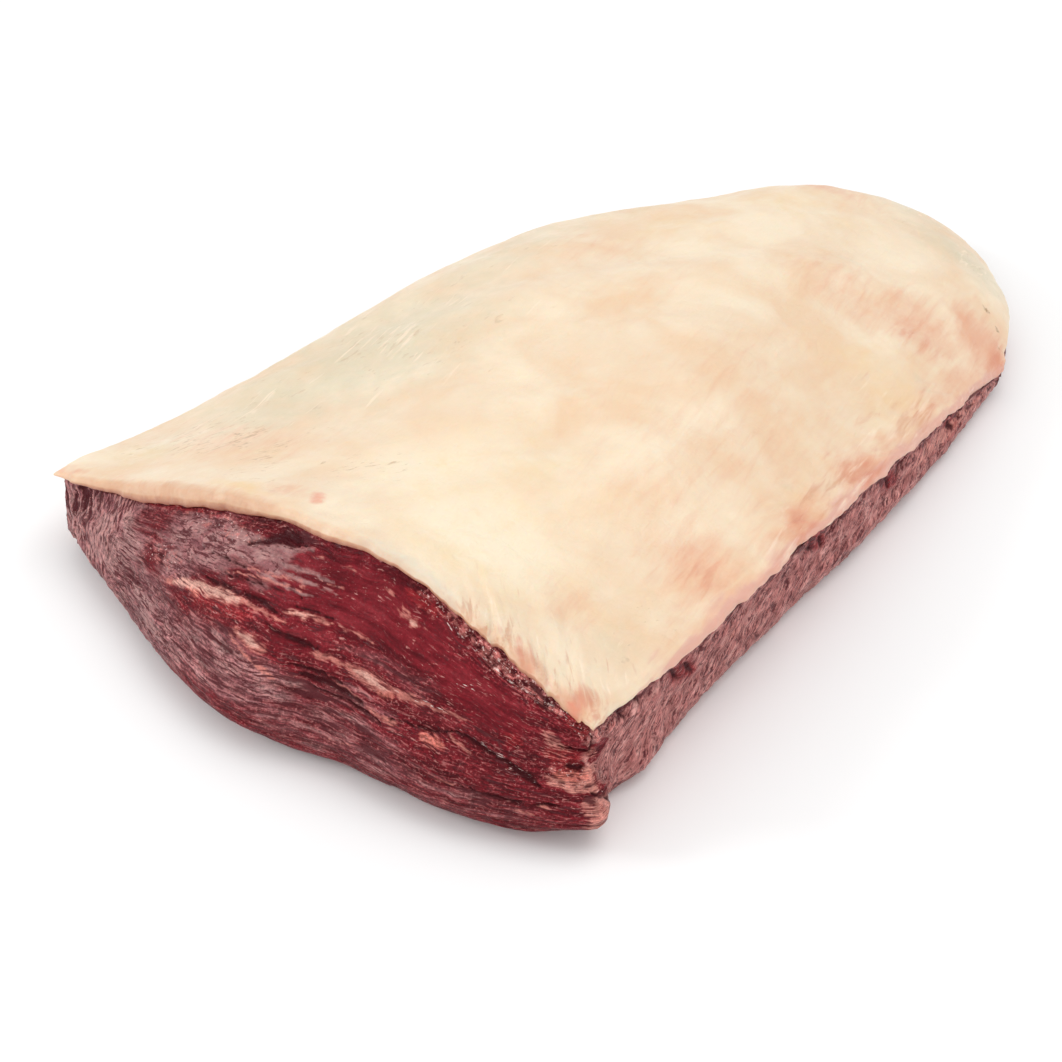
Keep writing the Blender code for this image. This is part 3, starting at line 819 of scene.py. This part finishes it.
def fatCap():
    u, v = (crowded(count) for count in fat["lines"])
    top = backOf(u, v)
    way = wayOut(top, u, v)
    inner = (fatDepth(u, v) - fat["rimThick"]) / (fat["thick"] - fat["rimThick"])
    top += way * (inner * swellsAt(top))[..., None]
    for place, reach, rise in fat["tipSwellings"]:
        away = np.linalg.norm(top[..., :2] - place, axis=-1) / reach
        top[..., 2] += rise * np.exp(-(away**2))

    # What the four sides say, spread inwards from each.
    distances = besideSides(top)
    s, t = rollLeft(u)[:, None], rollFar(v)
    shares = {"near": s, "right": t, "far": s, "left": t}
    weights = {side: np.exp(-distance / fat["sideReach"]) for side, distance in distances.items()}
    together = sum(weights.values())
    edge, over, hang, belly, bellyHeight = (
        sum(weights[side] * through(form[side][key], shares[side]) for side in sideNames) / together
        for key in ("edge", "over", "hang", "belly", "bellyHeight")
    )
    thick = edge + hang
    # The nearest side counts by far the most; the small numbers keep it from zero at the rim itself.
    fromRim = sum((distance + 1e-3) ** -4.0 for distance in distances.values()) ** -0.25 - 0.8e-3
    lifts = [
        through(form[side]["lift"], shares[side]) * np.exp(-((distances[side] / fat["liftReach"]) ** 2))
        for side in sideNames
    ]
    lift = sum(high**4 for high in lifts) ** 0.25
    waves = rimWaves(np.repeat(top[:, :1], len(v), axis=1))
    top[..., 2] += lift + waves * np.exp(-distances["near"] / fat["waveReach"])

    # Soft unevenness all over, and the creases.
    creases, fan = fatCreases(top, distances)
    relief = clouds(top * (1, 1, 0.3), fat["uneven"]) * atLeast(0.4, step(0, 6, fromRim)) + creases
    top += way * relief[..., None]

    # The rounded edge.
    share = np.clip(fromRim / (fat["roundedOver"] * np.maximum(thick, 1)), 0, 1)
    drop = thick / 2 * (1 - np.sqrt(1 - (1 - share) ** 2))
    out = outward(top)
    rise = top[..., 2] - thick - form["gap"] - bellyHeight
    flare = belly * (1 - (rise / (rise + hang)) ** 2)
    ragged = over + clouds(top, fat["ragged"])
    ragged += step(12, 2, distances["right"]) * clouds(top, fat["raggedRight"])
    spread = ragged * np.exp(-fromRim / fat["raggedReach"])
    spread += (1 - fat["flareBelow"]) * flare * np.exp(-fromRim / fat["flareReach"])
    top += out * spread[..., None] - way * drop[..., None]
    rim, rimWay, rimOut = edgeRing(top), edgeRing(way), edgeRing(out)
    half = edgeRing(thick)[:, None] / 2 * (1 + np.maximum(clouds(rim, fat["rimThickness"]), 0)[:, None])
    flared = fat["flareBelow"] * edgeRing(flare)[:, None]
    rings = []
    for turn in np.linspace(0, np.pi / 2, fat["rimRows"] + 1)[1:]:
        outBy = flared * math.sin(turn) - half * fat["tuckedIn"] * (1 - math.cos(turn))
        rings.append(rim - rimWay * half * math.sin(turn) + rimOut * outBy)

    numbers = np.arange(top[..., 0].size).reshape(top.shape[:2])
    flat = np.meshgrid(np.linspace(0.005, 0.8, len(u)), np.linspace(0.05, 0.995, len(v)), indexing="ij")
    faces, flatMap = [], []
    addGrid(faces, flatMap, numbers, np.stack(flat, axis=-1))
    below = numbers.size + np.arange(len(rings) * len(rim)).reshape(len(rings), -1)
    strip = np.concatenate([edgeRing(numbers)[None], below])
    strip = np.concatenate([strip, strip[:, :1]], axis=1)
    flat = np.meshgrid(np.linspace(0.005, 0.995, strip.shape[1]), np.linspace(0.04, 0.005, len(strip)))
    addGrid(faces, flatMap, strip, np.stack(flat, axis=-1))

    hidden, _ = hiddenGrid()
    grid = numbers.size + below.size + np.arange(hidden[..., 0].size).reshape(hidden.shape[:2])
    points = np.concatenate([top.reshape(-1, 3), *rings, hidden.reshape(-1, 3)])
    counts = fat["lines"] * 2
    addHidden(faces, flatMap, strip[-1, :-1], counts, grid, planMap(points, (0.82, 0.5), 0.17), -1)

    # Values on the top are carried down round the edge, and left out underneath.
    # The fan's mask lays painted highlights on its crease ridges and painted shade in their valleys; the
    # under edge is partly the pinker fat over the meat and partly painted shade under the rolled edge,
    # darkest at the foot of the rings.
    masks = {**fatMasks(top, distances, shares), "fan": fan}
    faceOn = weights["near"] / together * (1 - 0.6 * step(0.9, 0.98, shares["near"]))
    lipReach = 0.32 + 0.14 * step(0.5, 0.38, shares["near"])
    masks["underEdgeTintAndShade"] = faceOn * lipReach * np.exp(-((distances["near"] / (0.6 * thick + 1)) ** 2))
    carried = {key: np.tile(edgeRing(field), len(rings)) for key, field in masks.items()}
    carried["underEdgeTintAndShade"] = np.outer(atLeast(0.5, np.linspace(0, 1, len(rings) + 1)[1:]), edgeRing(faceOn))
    spare = np.zeros(grid.size)
    values = {key: np.concatenate([masks[key].ravel(), carried[key].ravel(), spare]) for key in masks}
    return makePiece("fatCap", points, faces, flatMap, values)


# Places on the fat: x, y and half widths in mm, and how strong.
fatMarks = {
    "pink": [
        (60, 110, 44, 80, 0.3), (80, 62, 15, 16, 0.75), (92, 58, 6, 34, 0.6), (88, 100, 7, 22, 0.8),
        (46, 196, 22, 14, 0.6), (62, 205, 16, 16, 0.8), (75, 224, 12, 14, 1), (82, 200, 8, 34, 0.7),
        (86, 136, 8, 14, 1), (86, 150, 8, 26, 0.7), (-45, 224, 14, 7, 0.6), (-15, 255, 34, 9, 0.8),
        (66, 24, 12, 10, 0.4), (-90, 2, 6, 4, 0.8), (-84, 36, 14, 16, 0.3), (-55, 34, 30, 16, 0.45),
        (-15, 10, 9, 6, 0.5), (0, 150, 30, 40, 0.2), (20, 200, 30, 30, 0.1), (-45, 2, 44, 3, 0.4),
        (-28, 168, 24, 20, 0.3),
    ],
    "flesh": [
        (87, 134, 5, 10, 1), (90, 96, 4, 8, 0.9), (80, 225, 6, 10, 0.8), (84, 178, 4, 10, 0.6),
        (-93, 0, 4, 2, 0.8), (80, 60, 7, 9, 0.5), (66, 200, 8, 8, 0.4),
    ],
    "yellow": [
        (-26, 5, 9, 4, 1), (-40, 30, 12, 7, 0.5), (76, 168, 12, 20, 0.5), (85, 106, 8, 8, 0.6),
        (20, 50, 40, 34, 0.4), (39, 13, 30, 10, 0.5), (60, 170, 14, 16, 0.4), (70, 30, 20, 14, 0.4),
        (-80, 18, 14, 12, 0.5), (-20, 195, 30, 16, 0.4), (5, 232, 30, 14, 0.4),
    ],
    # Grey: partly the fat's own greyish tone, partly painted shade where the top rolls away over the left
    # and far sides.
    "greyAndShade": [
        (-56, 94, 38, 44, 0.9), (-66, 60, 28, 28, 0.8), (-40, 70, 26, 30, 0.4), (-78, 26, 14, 18, 0.5),
        (-55, 150, 20, 50, 0.6), (84, 22, 9, 9, 0.5), (78, 107, 3, 3, 0.6), (76, 184, 3, 3, 0.6),
        (50, 256, 26, 12, 0.8), (20, 268, 40, 8, 0.6), (-45, 205, 18, 30, 0.4),
    ],
    # A paler patch on the dome's near slope: painted light, where the light falls fullest.
    "paintedLight": [(36, 26, 30, 26, 1), (10, 40, 26, 26, 0.8), (44, 50, 20, 22, 0.5), (14, 10, 22, 9, 0.6)],
    "red": [
        (-3.1, 9.2, 2.3, 2.3, 1), (-4.3, 10.8, 2.3, 2.3, 1), (-5.4, 12.3, 2.3, 2.3, 0.9),
        (-16, 9, 2.4, 1.4, 0.4), (88, -3, 3, 1.6, 0.8), (74, -2.5, 2.5, 1.4, 0.7),
    ],
    "brown": [
        (-59, 38, 2.4, 1.2, 0.7), (-45, 222, 1.6, 1.2, 1), (-22, 248, 1.6, 1, 0.8),
        (69, 237, 1.6, 1.4, 0.8), (74, 236, 1.4, 1.2, 0.7), (78, 231, 1.6, 1.2, 0.6),
        (-30, 18, 2, 0.8, 0.6),
    ],
    "flecked": [
        (-74, 26, 22, 16, 0.9), (-55, 36, 30, 16, 1), (-36, 34, 26, 18, 1), (-12, 34, 18, 14, 0.7),
        (-28, 16, 24, 10, 0.8), (-55, 90, 40, 40, 0.4), (82, 40, 12, 14, 0.4),
    ],
    "blush": [(73, -1, 6, 3.5, 1), (89, -2, 8, 5, 1), (65, 0, 4, 2.5, 0.5)],
    "folded": [
        (86, 118, 9, 40, 1), (82, 165, 12, 40, 1), (92, 88, 6, 22, 1), (70, 170, 16, 22, 0.7),
        (84, 200, 10, 26, 0.8), (62, 205, 18, 16, 0.5), (86, 50, 9, 22, 0.6),
    ],
}


def creased(top, along, across, noises):
    # Creases that run the way that the two places say.
    sway, swells, grooves = noises
    lines = np.stack([across + clouds(top, sway), along, 0 * along], axis=-1)
    return clouds(lines, swells) - np.abs(clouds(lines, grooves))


def fatCreases(top, distances):
    # Creases that fan in from the cut edge near the right corner, and folds along the right side.
    x, y = top[..., 0], top[..., 1]
    fan = step(34, 58, x) * step(99, 88, x) * np.exp(-distances["near"] / 12)
    creases = fan * creased(top, 0.16 * y, x + 0.9 * y, fat["fanCreases"])
    folds = creased(top, 0.1 * y, x - 0.18 * y, fat["foldCreases"])
    return creases + blobs(top, fatMarks["folded"]) * folds, fan


def blobs(top, places):
    total = np.zeros(top.shape[:2])
    for x, y, halfAcross, halfAlong, strength in places:
        away = ((top[..., 0] - x) / halfAcross) ** 2 + ((top[..., 1] - y) / halfAlong) ** 2
        total = np.maximum(total, strength * np.exp(-away))
    return total


def fatMasks(top, distances, shares):
    # How strong each mark is at each point, and what runs along the edges.
    ragged = shaken(top, *fat["markShake"])
    masks = {}
    for key, places in fatMarks.items():
        masks[key] = blobs(top if key in ("red", "brown") else ragged, places)
    nearShare = np.broadcast_to(shares["near"], top.shape[:2])
    clear = step(0.52, 0.64, nearShare) * step(0.84, 0.72, nearShare)
    masks["clear"] = clear * np.exp(-((distances["near"] / 5) ** 2))
    inset = 3 + 1.8 * cloud(top, 12, 2, shift=43)
    masks["skin"] = np.exp(-((distances["right"] / inset) ** 2)) * step(0.02, 0.2, shares["right"])
    masks["flecked"] *= step(-0.4, 0.2, cloud(top, 13, 2, shift=44))
    masks["cracked"] = masks["greyAndShade"] * step(-0.4, 0.2, cloud(top, 16, 2, shift=45))
    return masks


def linear(code):
    # An sRGB hex colour as the linear one that a shader takes.
    parts = [int(code[k:k + 2], 16) / 255 for k in (1, 3, 5)]
    return (*[p / 12.92 if p <= 0.04045 else ((p + 0.055) / 1.055) ** 2.4 for p in parts], 1)


def addNode(tree, kind, settings=None, inputs=None, output=0):
    # Gives the socket that the next node takes.
    node = tree.nodes.new("ShaderNode" + kind)
    for key, value in (settings or {}).items():
        setattr(node, key, value)
    for key, value in (inputs or {}).items():
        if isinstance(value, bpy.types.NodeSocket):
            tree.links.new(value, node.inputs[key])
        else:
            node.inputs[key].default_value = value
    return node.outputs[output] if node.outputs else None


def newFinish(name):
    material = bpy.data.materials.new(name)
    material.use_nodes = True
    material.node_tree.nodes.clear()
    return material, material.node_tree


def fieldsOf(tree, layers, *more):
    # The values on the mesh that the layers go by.
    names = dict.fromkeys([*more, *(layer[1] for layer in layers)])
    return {name: addNode(tree, "Attribute", {"attribute_name": name}, output="Fac") for name in names}


def grounds(tree, look, noises):
    # The paints under all layers: each goes through three colours with a noise.
    paints = {}
    for key, (noise, *stops) in look["grounds"].items():
        paints[key] = addNode(tree, "ValToRGB", {}, {0: noises[noise]})
        elements = paints[key].node.color_ramp.elements
        elements.new(0.5)
        for element, (at, colour) in zip(elements, stops):
            element.position = at
            element.color = linear(look[colour])
    return paints


def layered(tree, paint, layers, read, noises, colours):
    # Lays each layer over the paint, as the note above muscleLayers says.
    smooth = {"interpolation_type": "SMOOTHSTEP"}
    for colour, field, noise, level, roughen, low, high, most in layers:
        shifted = addNode(tree, "Math", {"operation": "MULTIPLY_ADD"}, {
            0: noises[noise], 1: roughen, 2: -roughen * level,
        })
        total = addNode(tree, "Math", {}, {0: read[field], 1: shifted})
        cover = addNode(tree, "MapRange", smooth, {
            "Value": total, "From Min": low, "From Max": high, "To Max": most,
        })
        present = addNode(tree, "MapRange", smooth, {
            "Value": read[field], "From Min": 0.02, "From Max": 0.25,
        })
        cover = addNode(tree, "Math", {"operation": "MULTIPLY"}, {0: cover, 1: present})
        over = colours[colour]
        paint = addNode(tree, "Mix", {"data_type": "RGBA"}, {
            0: cover, 6: paint, 7: linear(over) if isinstance(over, str) else over,
        }, 2)
    return paint


def surfaced(tree, look, paint, noises, more=None):
    # The shader, with its gloss and with fine relief under the mesh's own.
    noise, low, high, least, most = look["gloss"]
    gloss = addNode(tree, "MapRange", {}, {
        "Value": noises[noise], "From Min": low, "From Max": high, "To Min": least, "To Max": most,
    })
    below = {}
    for key, depth in look["bumps"].items():
        bump = addNode(tree, "Bump", {}, {
            "Strength": 0.9, "Distance": depth * mm, "Height": noises[key], **below,
        })
        below = {"Normal": bump}
    surface = addNode(tree, "BsdfPrincipled", {}, {
        "Base Color": paint, "Roughness": gloss, "Normal": bump, "Coat Normal": bump,
        **look["shader"], **(more or {}),
    })
    addNode(tree, "OutputMaterial", {}, {"Surface": surface})


# Raw beef muscle, cut with a knife and wet: deep crimson where fresh, mauve and silvery where it
# has dried or keeps its skin, with pale marbling along the fibres and a soft wet shine.
muscle = {
    "deep": "#5E121B", "crimson": "#781A24", "light": "#8E2C34",
    "dryDark": "#865054", "dry": "#9E6869", "dryLight": "#B88A87",
    "uncutDark": "#925552", "uncut": "#B67470", "uncutLight": "#D69C95",
    "silver": "#AA807D", "vein": "#B87268", "pale": "#D2A294", "flush": "#8E2228",
    "orange": "#D67A6C", "salmon": "#E49C8E", "knobbly": "#D27C76",
    # The sheen and glint colours are painted highlights, and the gap and dark colours painted shade.
    "paintedSheen": "#C48882", "gap": "#5A262B", "dark": "#400E14", "marbling": "#C48078", "glint": "#F2DAD2",
    "fibreRuns": {  # mm along and across the fibres
        "threads": (3.4, 0.6), "bundles": (20, 2.6), "gaps": (8, 1.2), "folds": (7, 2.4),
        "patches": (8, 3.4),
        "flecks": (2.4, 0.5),  # real flecks are finer, drawn as coarse as the picture shows
    },
    "runs": {"blotch": 9, "lumps": 1.8, "speckle": 0.75},  # mm, the same every way
    "bumps": {"speckle": 0.2, "threads": 0.45, "gaps": 0.5},  # mm deep
    "grounds": {
        "wet": ("bundles", (0.36, "deep"), (0.5, "crimson"), (0.68, "light")),
        "dried": ("patches", (0.36, "dryDark"), (0.5, "dry"), (0.66, "dryLight")),
        "skinned": ("patches", (0.34, "uncutDark"), (0.5, "uncut"), (0.68, "uncutLight")),
    },
    # Threads lie lighter and darker side by side with a fine grain on them, less so where the cut is
    # smooth; painted shade darkens it down in the grooves and painted light lifts it on the ridges:
    # from a value to another, from a shade to another.
    "shades": {
        "threads": (0.36, 0.64, 0.56, 1.38), "speckle": (0.34, 0.66, 0.58, 1.4),
        "groove": (0.9, -0.7, 0.55, 1.25),
    },
    "gloss": ("blotch", 0.35, 0.65, 0.3, 0.48),
    "film": (0.58, 0.68, 0.03, 0.6),  # the thin wet film gathers in spots, where it glints
    "shader": {
        "IOR": 1.36, "Specular IOR Level": 0.12, "Coat Roughness": 0.12,
        "Subsurface Weight": 0.1, "Subsurface Radius": (1, 0.3, 0.2), "Subsurface Scale": 0.0012,
    },
}
# Each layer covers what is below where its field, roughened by a noise round a level, passes a
# threshold: colour, field, noise, level, roughening, where it starts, where it is full, how much.
muscleLayers = (
    ("dried", "dry", "bundles", 0.5, 2.2, 0.1, 0.95, 1),
    ("skinned", "uncut", "threads", 0.5, 0.4, 0.35, 0.65, 1),
    ("silver", "silver", "gaps", 0.5, 1.6, 0.3, 1.05, 0.8),
    ("knobbly", "knobbly", "lumps", 0.5, 4, 0.45, 1.35, 0.85),
    ("flush", "flush", "threads", 0.5, 1.2, 0.1, 1, 0.9),
    ("salmon", "salmon", "threads", 0.5, 2.4, 0.3, 1.3, 0.85),
    ("orange", "orange", "threads", 0.5, 2.2, 0.15, 1.1, 0.85),
    ("vein", "vein", "threads", 0.5, 1.9, 0.22, 1, 0.9),
    ("pale", "pale", "threads", 0.5, 2.1, 0.22, 1.1, 0.85),
)
muscleMarks = (
    # Painted sheen: pinkish highlights on the rough threads and grain.
    ("paintedSheen", "rough", "threads", 0.5, 8, 1.45, 2.4, 0.4),
    ("paintedSheen", "rough", "speckle", 0.5, 8, 1.6, 2.5, 0.45),
    # Painted shade in the gaps between threads and along the folds' lines.
    ("gap", "gappy", "threads", 0.5, -10, 1.05, 1.6, 0.85),
    ("gap", "gappy", "gaps", 0.5, -12, 1.5, 2, 0.9),
    ("gap", "folded", "offFold", 0.03, -22, 0.85, 1.35, 0.85),
    # Painted highlights along the strands and strokes.
    ("paintedSheen", "strand", "threads", 0.5, 9, 1.5, 2.2, 0.65),
    # Painted shade in the knobbly strip's pits, and painted glints on its knobs.
    ("dark", "knobbly", "lumps", 0.5, -8, 1.3, 2.2, 0.6),
    ("glint", "knobbly", "speckle", 0.5, 10, 1.7, 2.6, 0.7),
    ("marbling", "marbled", "flecks", 0.6, 9, 0.9, 1.8, 0.8),
    # Painted shade in the fissures and seams, and painted glints.
    ("gap", "fissure", "speckle", 0.5, 0.8, 0.25, 0.9, 0.9),
    ("dark", "dark", "threads", 0.5, 1.2, 0.25, 0.9, 0.95),
    ("glint", "glint", "flecks", 0.5, 6, 1, 2, 0.9),
)


def muscleFinish():
    material, tree = newFinish("freshCutMuscle")
    read = fieldsOf(tree, muscleLayers + muscleMarks, "strand", "rough", "groove")
    noises = {"groove": read["groove"]}
    ways = [
        addNode(tree, "Attribute", {"attribute_name": key}, output="Vector") for key in ("fibre", "stroke")
    ]
    for key, (along, across) in muscle["fibreRuns"].items():
        both = []
        for way in ways:
            scaled = addNode(tree, "VectorMath", {"operation": "MULTIPLY"}, {
                0: way, 1: (1 / along, 1 / across, 1),
            })
            both.append(addNode(tree, "TexNoise", {}, {
                "Vector": scaled, "Scale": 1, "Detail": 3, "Roughness": 0.6, "Distortion": 0.3,
            }))
        noises[key] = addNode(tree, "Mix", {}, {0: read["strand"], 2: both[0], 3: both[1]})
    place = addNode(tree, "TexCoord", output="Object")
    for key, run in muscle["runs"].items():
        noises[key] = addNode(tree, "TexNoise", {}, {
            "Vector": place, "Scale": 1 / mm / run, "Detail": 3, "Roughness": 0.62,
        })
    signed = addNode(tree, "Math", {"operation": "SUBTRACT"}, {0: noises["folds"], 1: 0.5})
    noises["offFold"] = addNode(tree, "Math", {"operation": "ABSOLUTE"}, {0: signed})

    paints = grounds(tree, muscle, noises)
    paint = layered(tree, paints["wet"], muscleLayers, read, noises, {**muscle, **paints})
    for key, (low, high, dark, light) in muscle["shades"].items():
        shade = addNode(tree, "MapRange", {}, {
            "Value": noises[key], "From Min": low, "From Max": high, "To Min": dark, "To Max": light,
        })
        paint = addNode(tree, "Mix", {"data_type": "RGBA", "blend_type": "MULTIPLY"}, {
            0: 1 if key == "groove" else read["rough"], 6: paint, 7: shade,
        }, 2)
    paint = layered(tree, paint, muscleMarks, read, noises, muscle)
    low, high, least, most = muscle["film"]
    film = addNode(tree, "MapRange", {}, {
        "Value": noises["flecks"], "From Min": low, "From Max": high, "To Min": least, "To Max": most,
    })
    surfaced(tree, muscle, paint, noises, {"Coat Weight": film})
    return material


# Beef fat, trimmed to its own smooth skin: waxy cream that lets light in, warmer and pinker where
# it thins over the meat, with faint threads of membrane and a soft greasy shine.
suet = {
    # The pale colour of the dome's near slope is painted light; the grey is partly painted shade where the
    # top rolls away, the thread colour partly painted highlight on the fan's ridges, the web colour partly
    # painted shade in its valleys, and the lip and under-edge colours partly painted shade under the rolled
    # edge.
    "cream": "#EBD4B7", "pale": "#F0DEC3", "warm": "#E9CBAA", "paintedLight": "#F6E7CC",
    "pink": "#E1A686", "flesh": "#D68C70", "yellow": "#EAC997", "greyAndShade": "#D4CBB0",
    "red": "#E48A70", "brown": "#96704E", "clear": "#DCD4C2", "skin": "#DCA999", "threadAndRidgeLight": "#F8E4CC",
    "crack": "#C4A584", "fleck": "#B48E66", "webAndCreaseShade": "#CF9474", "lip": "#CF9C7A", "underEdgeTintAndShade": "#A86A58",
    "blush": "#CE8062",
    "runs": {  # mm, then how far they are drawn out along a direction in degrees
        "cloudy": (26, 1, 0), "patchy": (7, 1, 0), "fine": (1.3, 1, 0), "fleck": (1.1, 3, 62),
        "cracks": (2.4, 2.4, 82), "threads": (2.8, 5, 98), "strands": (2.2, 9, 99), "rays": (2.2, 7, 136),
    },
    "bumps": {"patchy": 0.5, "threads": 0.3, "cracks": 0.18, "fine": 0.09},  # mm deep
    "grounds": {"plain": ("cloudy", (0.36, "warm"), (0.5, "cream"), (0.66, "pale"))},
    "gloss": ("patchy", 0.3, 0.7, 0.36, 0.52),
    "shader": {
        "IOR": 1.45,
        "Subsurface Weight": 0.45, "Subsurface Radius": (1, 0.62, 0.4), "Subsurface Scale": 0.0025,
    },
}
suetLayers = (
    # Painted light on the dome's near slope.
    ("paintedLight", "paintedLight", "patchy", 0.5, 0.5, 0.1, 0.95, 0.9),
    # Grey, partly painted shade where the top rolls away.
    ("greyAndShade", "greyAndShade", "patchy", 0.5, 0.9, 0.1, 1.05, 0.7),
    ("yellow", "yellow", "patchy", 0.5, 1, 0.1, 1, 0.7),
    ("pink", "pink", "threads", 0.5, 1, 0.1, 1.05, 0.75),
    ("pink", "pink", "patchy", 0.5, 1.4, 0.5, 1.3, 0.5),
    ("skin", "skin", "strands", 0.5, 1.5, 0.1, 0.95, 0.9),
    ("flesh", "flesh", "threads", 0.5, 2, 0.2, 1.3, 0.8),
    ("threadAndRidgeLight", "folded", "strands", 0.5, 3, 0.9, 1.7, 0.6),
    ("webAndCreaseShade", "folded", "threads", 0.5, 3, 0.95, 1.7, 0.4),
    # On the fan: painted shade in the creases' valleys, and painted highlights on their ridges.
    ("webAndCreaseShade", "fan", "rays", 0.5, -5, 0.8, 1.6, 0.55),
    ("threadAndRidgeLight", "fan", "rays", 0.5, 5, 0.9, 1.6, 0.8),
    ("blush", "blush", "rays", 0.5, 2.4, 0.2, 1.3, 0.8),
    ("clear", "clear", "patchy", 0.5, 1.2, 0.25, 1, 0.7),
    ("crack", "cracked", "cracks", 0.5, 6, 1.15, 1.8, 0.35),
    ("threadAndRidgeLight", "cracked", "strands", 0.5, 5, 0.95, 1.7, 0.6),
    ("fleck", "flecked", "fleck", 0.5, 5, 0.9, 1.8, 0.55),
    ("red", "red", "fine", 0.5, 0.4, 0.2, 1, 0.62),
    ("brown", "brown", "fine", 0.5, 1.2, 0.4, 0.9, 0.8),
    # Under the near edge: the fat's pinker underside, with painted shade under the rolled lip, darker
    # towards its foot.
    ("lip", "underEdgeTintAndShade", "patchy", 0.5, 0.4, 0.1, 0.6, 0.9),
    ("underEdgeTintAndShade", "underEdgeTintAndShade", "threads", 0.5, 0.4, 0.42, 0.85, 0.9),
)


def suetFinish():
    material, tree = newFinish("smoothSuet")
    read = fieldsOf(tree, suetLayers)
    place = addNode(tree, "TexCoord", output="Object")
    noises = {}
    for key, (run, stretch, degrees) in suet["runs"].items():
        turned = addNode(tree, "Mapping", {"vector_type": "TEXTURE"}, {
            "Vector": place, "Rotation": (0, 0, math.radians(degrees)), "Scale": (stretch, 1, 1),
        })
        noises[key] = addNode(tree, "TexNoise", {}, {
            "Vector": turned, "Scale": 1 / mm / run, "Detail": 3, "Roughness": 0.55, "Distortion": 0.4,
        })
    plain = grounds(tree, suet, noises)["plain"]
    surfaced(tree, suet, layered(tree, plain, suetLayers, read, noises, suet), noises)
    return material


# The frame's origin is under the middle of the object's box.
coarse = {side: evenly(roll, 60) for side, roll in rolls.items()}
boxPoints = np.concatenate([bareWall().reshape(-1, 3), ringOf(backOf, coarse)])
middle = np.append((boxPoints.min(0) + boxPoints.max(0))[:2] / 2, 0)

meat = leanMeat()
meat.data.materials.append(muscleFinish())
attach(meat, "root")
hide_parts("lean_meat")
print("lean made:", len(meat.data.polygons), "faces")

cap = fatCap()
cap.data.materials.append(suetFinish())
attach(cap, "root")
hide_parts("fat_cap")
print("fat made:", len(cap.data.polygons), "faces")

studio = {
    "floorSize": 30,  # metres
    "floorDrop": 0.0005,
    "floor": "#FAFAFA",
    "world": "#FFFFFF",
    "worldStrength": 0.8,
    "lens": 85,
    "camera": (351, -366, 442),  # mm
    "azimuth": 37.22,
    "elevation": 38,
    "aim": (0, 0, 0.03),  # where the lights look
    # name, place in metres from the object, size in metres, power in watts
    "lights": [
        ("topSoftbox", (0.35, 0.3, 1.6), 1.2, 7.6),
        ("leftSoftbox", (-1.1, -0.9, 0.8), 0.45, 5),
        ("frontSoftbox", (0.9, -1.4, 0.7), 0.35, 3),
    ],
}


def makeStudio():
    half = studio["floorSize"] / 2
    mesh = bpy.data.meshes.new("floor")
    corners = [(-half, -half), (half, -half), (half, half), (-half, half)]
    mesh.from_pydata([(x, y, -studio["floorDrop"]) for x, y in corners], [], [(0, 1, 2, 3)])
    floor = addObject("floor", mesh)
    material, tree = newFinish("paleFloor")
    surface = addNode(tree, "BsdfPrincipled", {}, {"Base Color": linear(studio["floor"]), "Roughness": 0.9})
    addNode(tree, "OutputMaterial", {}, {"Surface": surface})
    mesh.materials.append(material)

    world = bpy.data.worlds.new("paleRoom")
    world.use_nodes = True
    background = world.node_tree.nodes["Background"]
    background.inputs["Color"].default_value = linear(studio["world"])
    background.inputs["Strength"].default_value = studio["worldStrength"]
    bpy.context.scene.world = world

    for name, place, size, power in studio["lights"]:
        light = bpy.data.lights.new(name, "AREA")
        light.size = size
        light.energy = power
        lamp = addObject(name, light)
        lamp.location = place
        lamp.rotation_euler = (Vector(studio["aim"]) - Vector(place)).to_track_quat("-Z", "Y").to_euler()


def makeCamera():
    # It looks down on the cut face and the right side, as the photograph does.
    azimuth, elevation = math.radians(studio["azimuth"]), math.radians(studio["elevation"])
    level = math.cos(elevation)
    back = Vector((math.sin(azimuth) * level, -math.cos(azimuth) * level, math.sin(elevation)))
    lens = bpy.data.cameras.new("camera")
    lens.lens = studio["lens"]
    lens.sensor_width = 36
    camera = addObject("camera", lens)
    camera.location = [(a - b) * mm for a, b in zip(studio["camera"], middle)]
    camera.rotation_euler = back.to_track_quat("Z", "Y").to_euler()
    bpy.context.scene.camera = camera


makeStudio()
makeCamera()
bpy.context.scene.view_settings.view_transform = "Standard"
print("studio made")
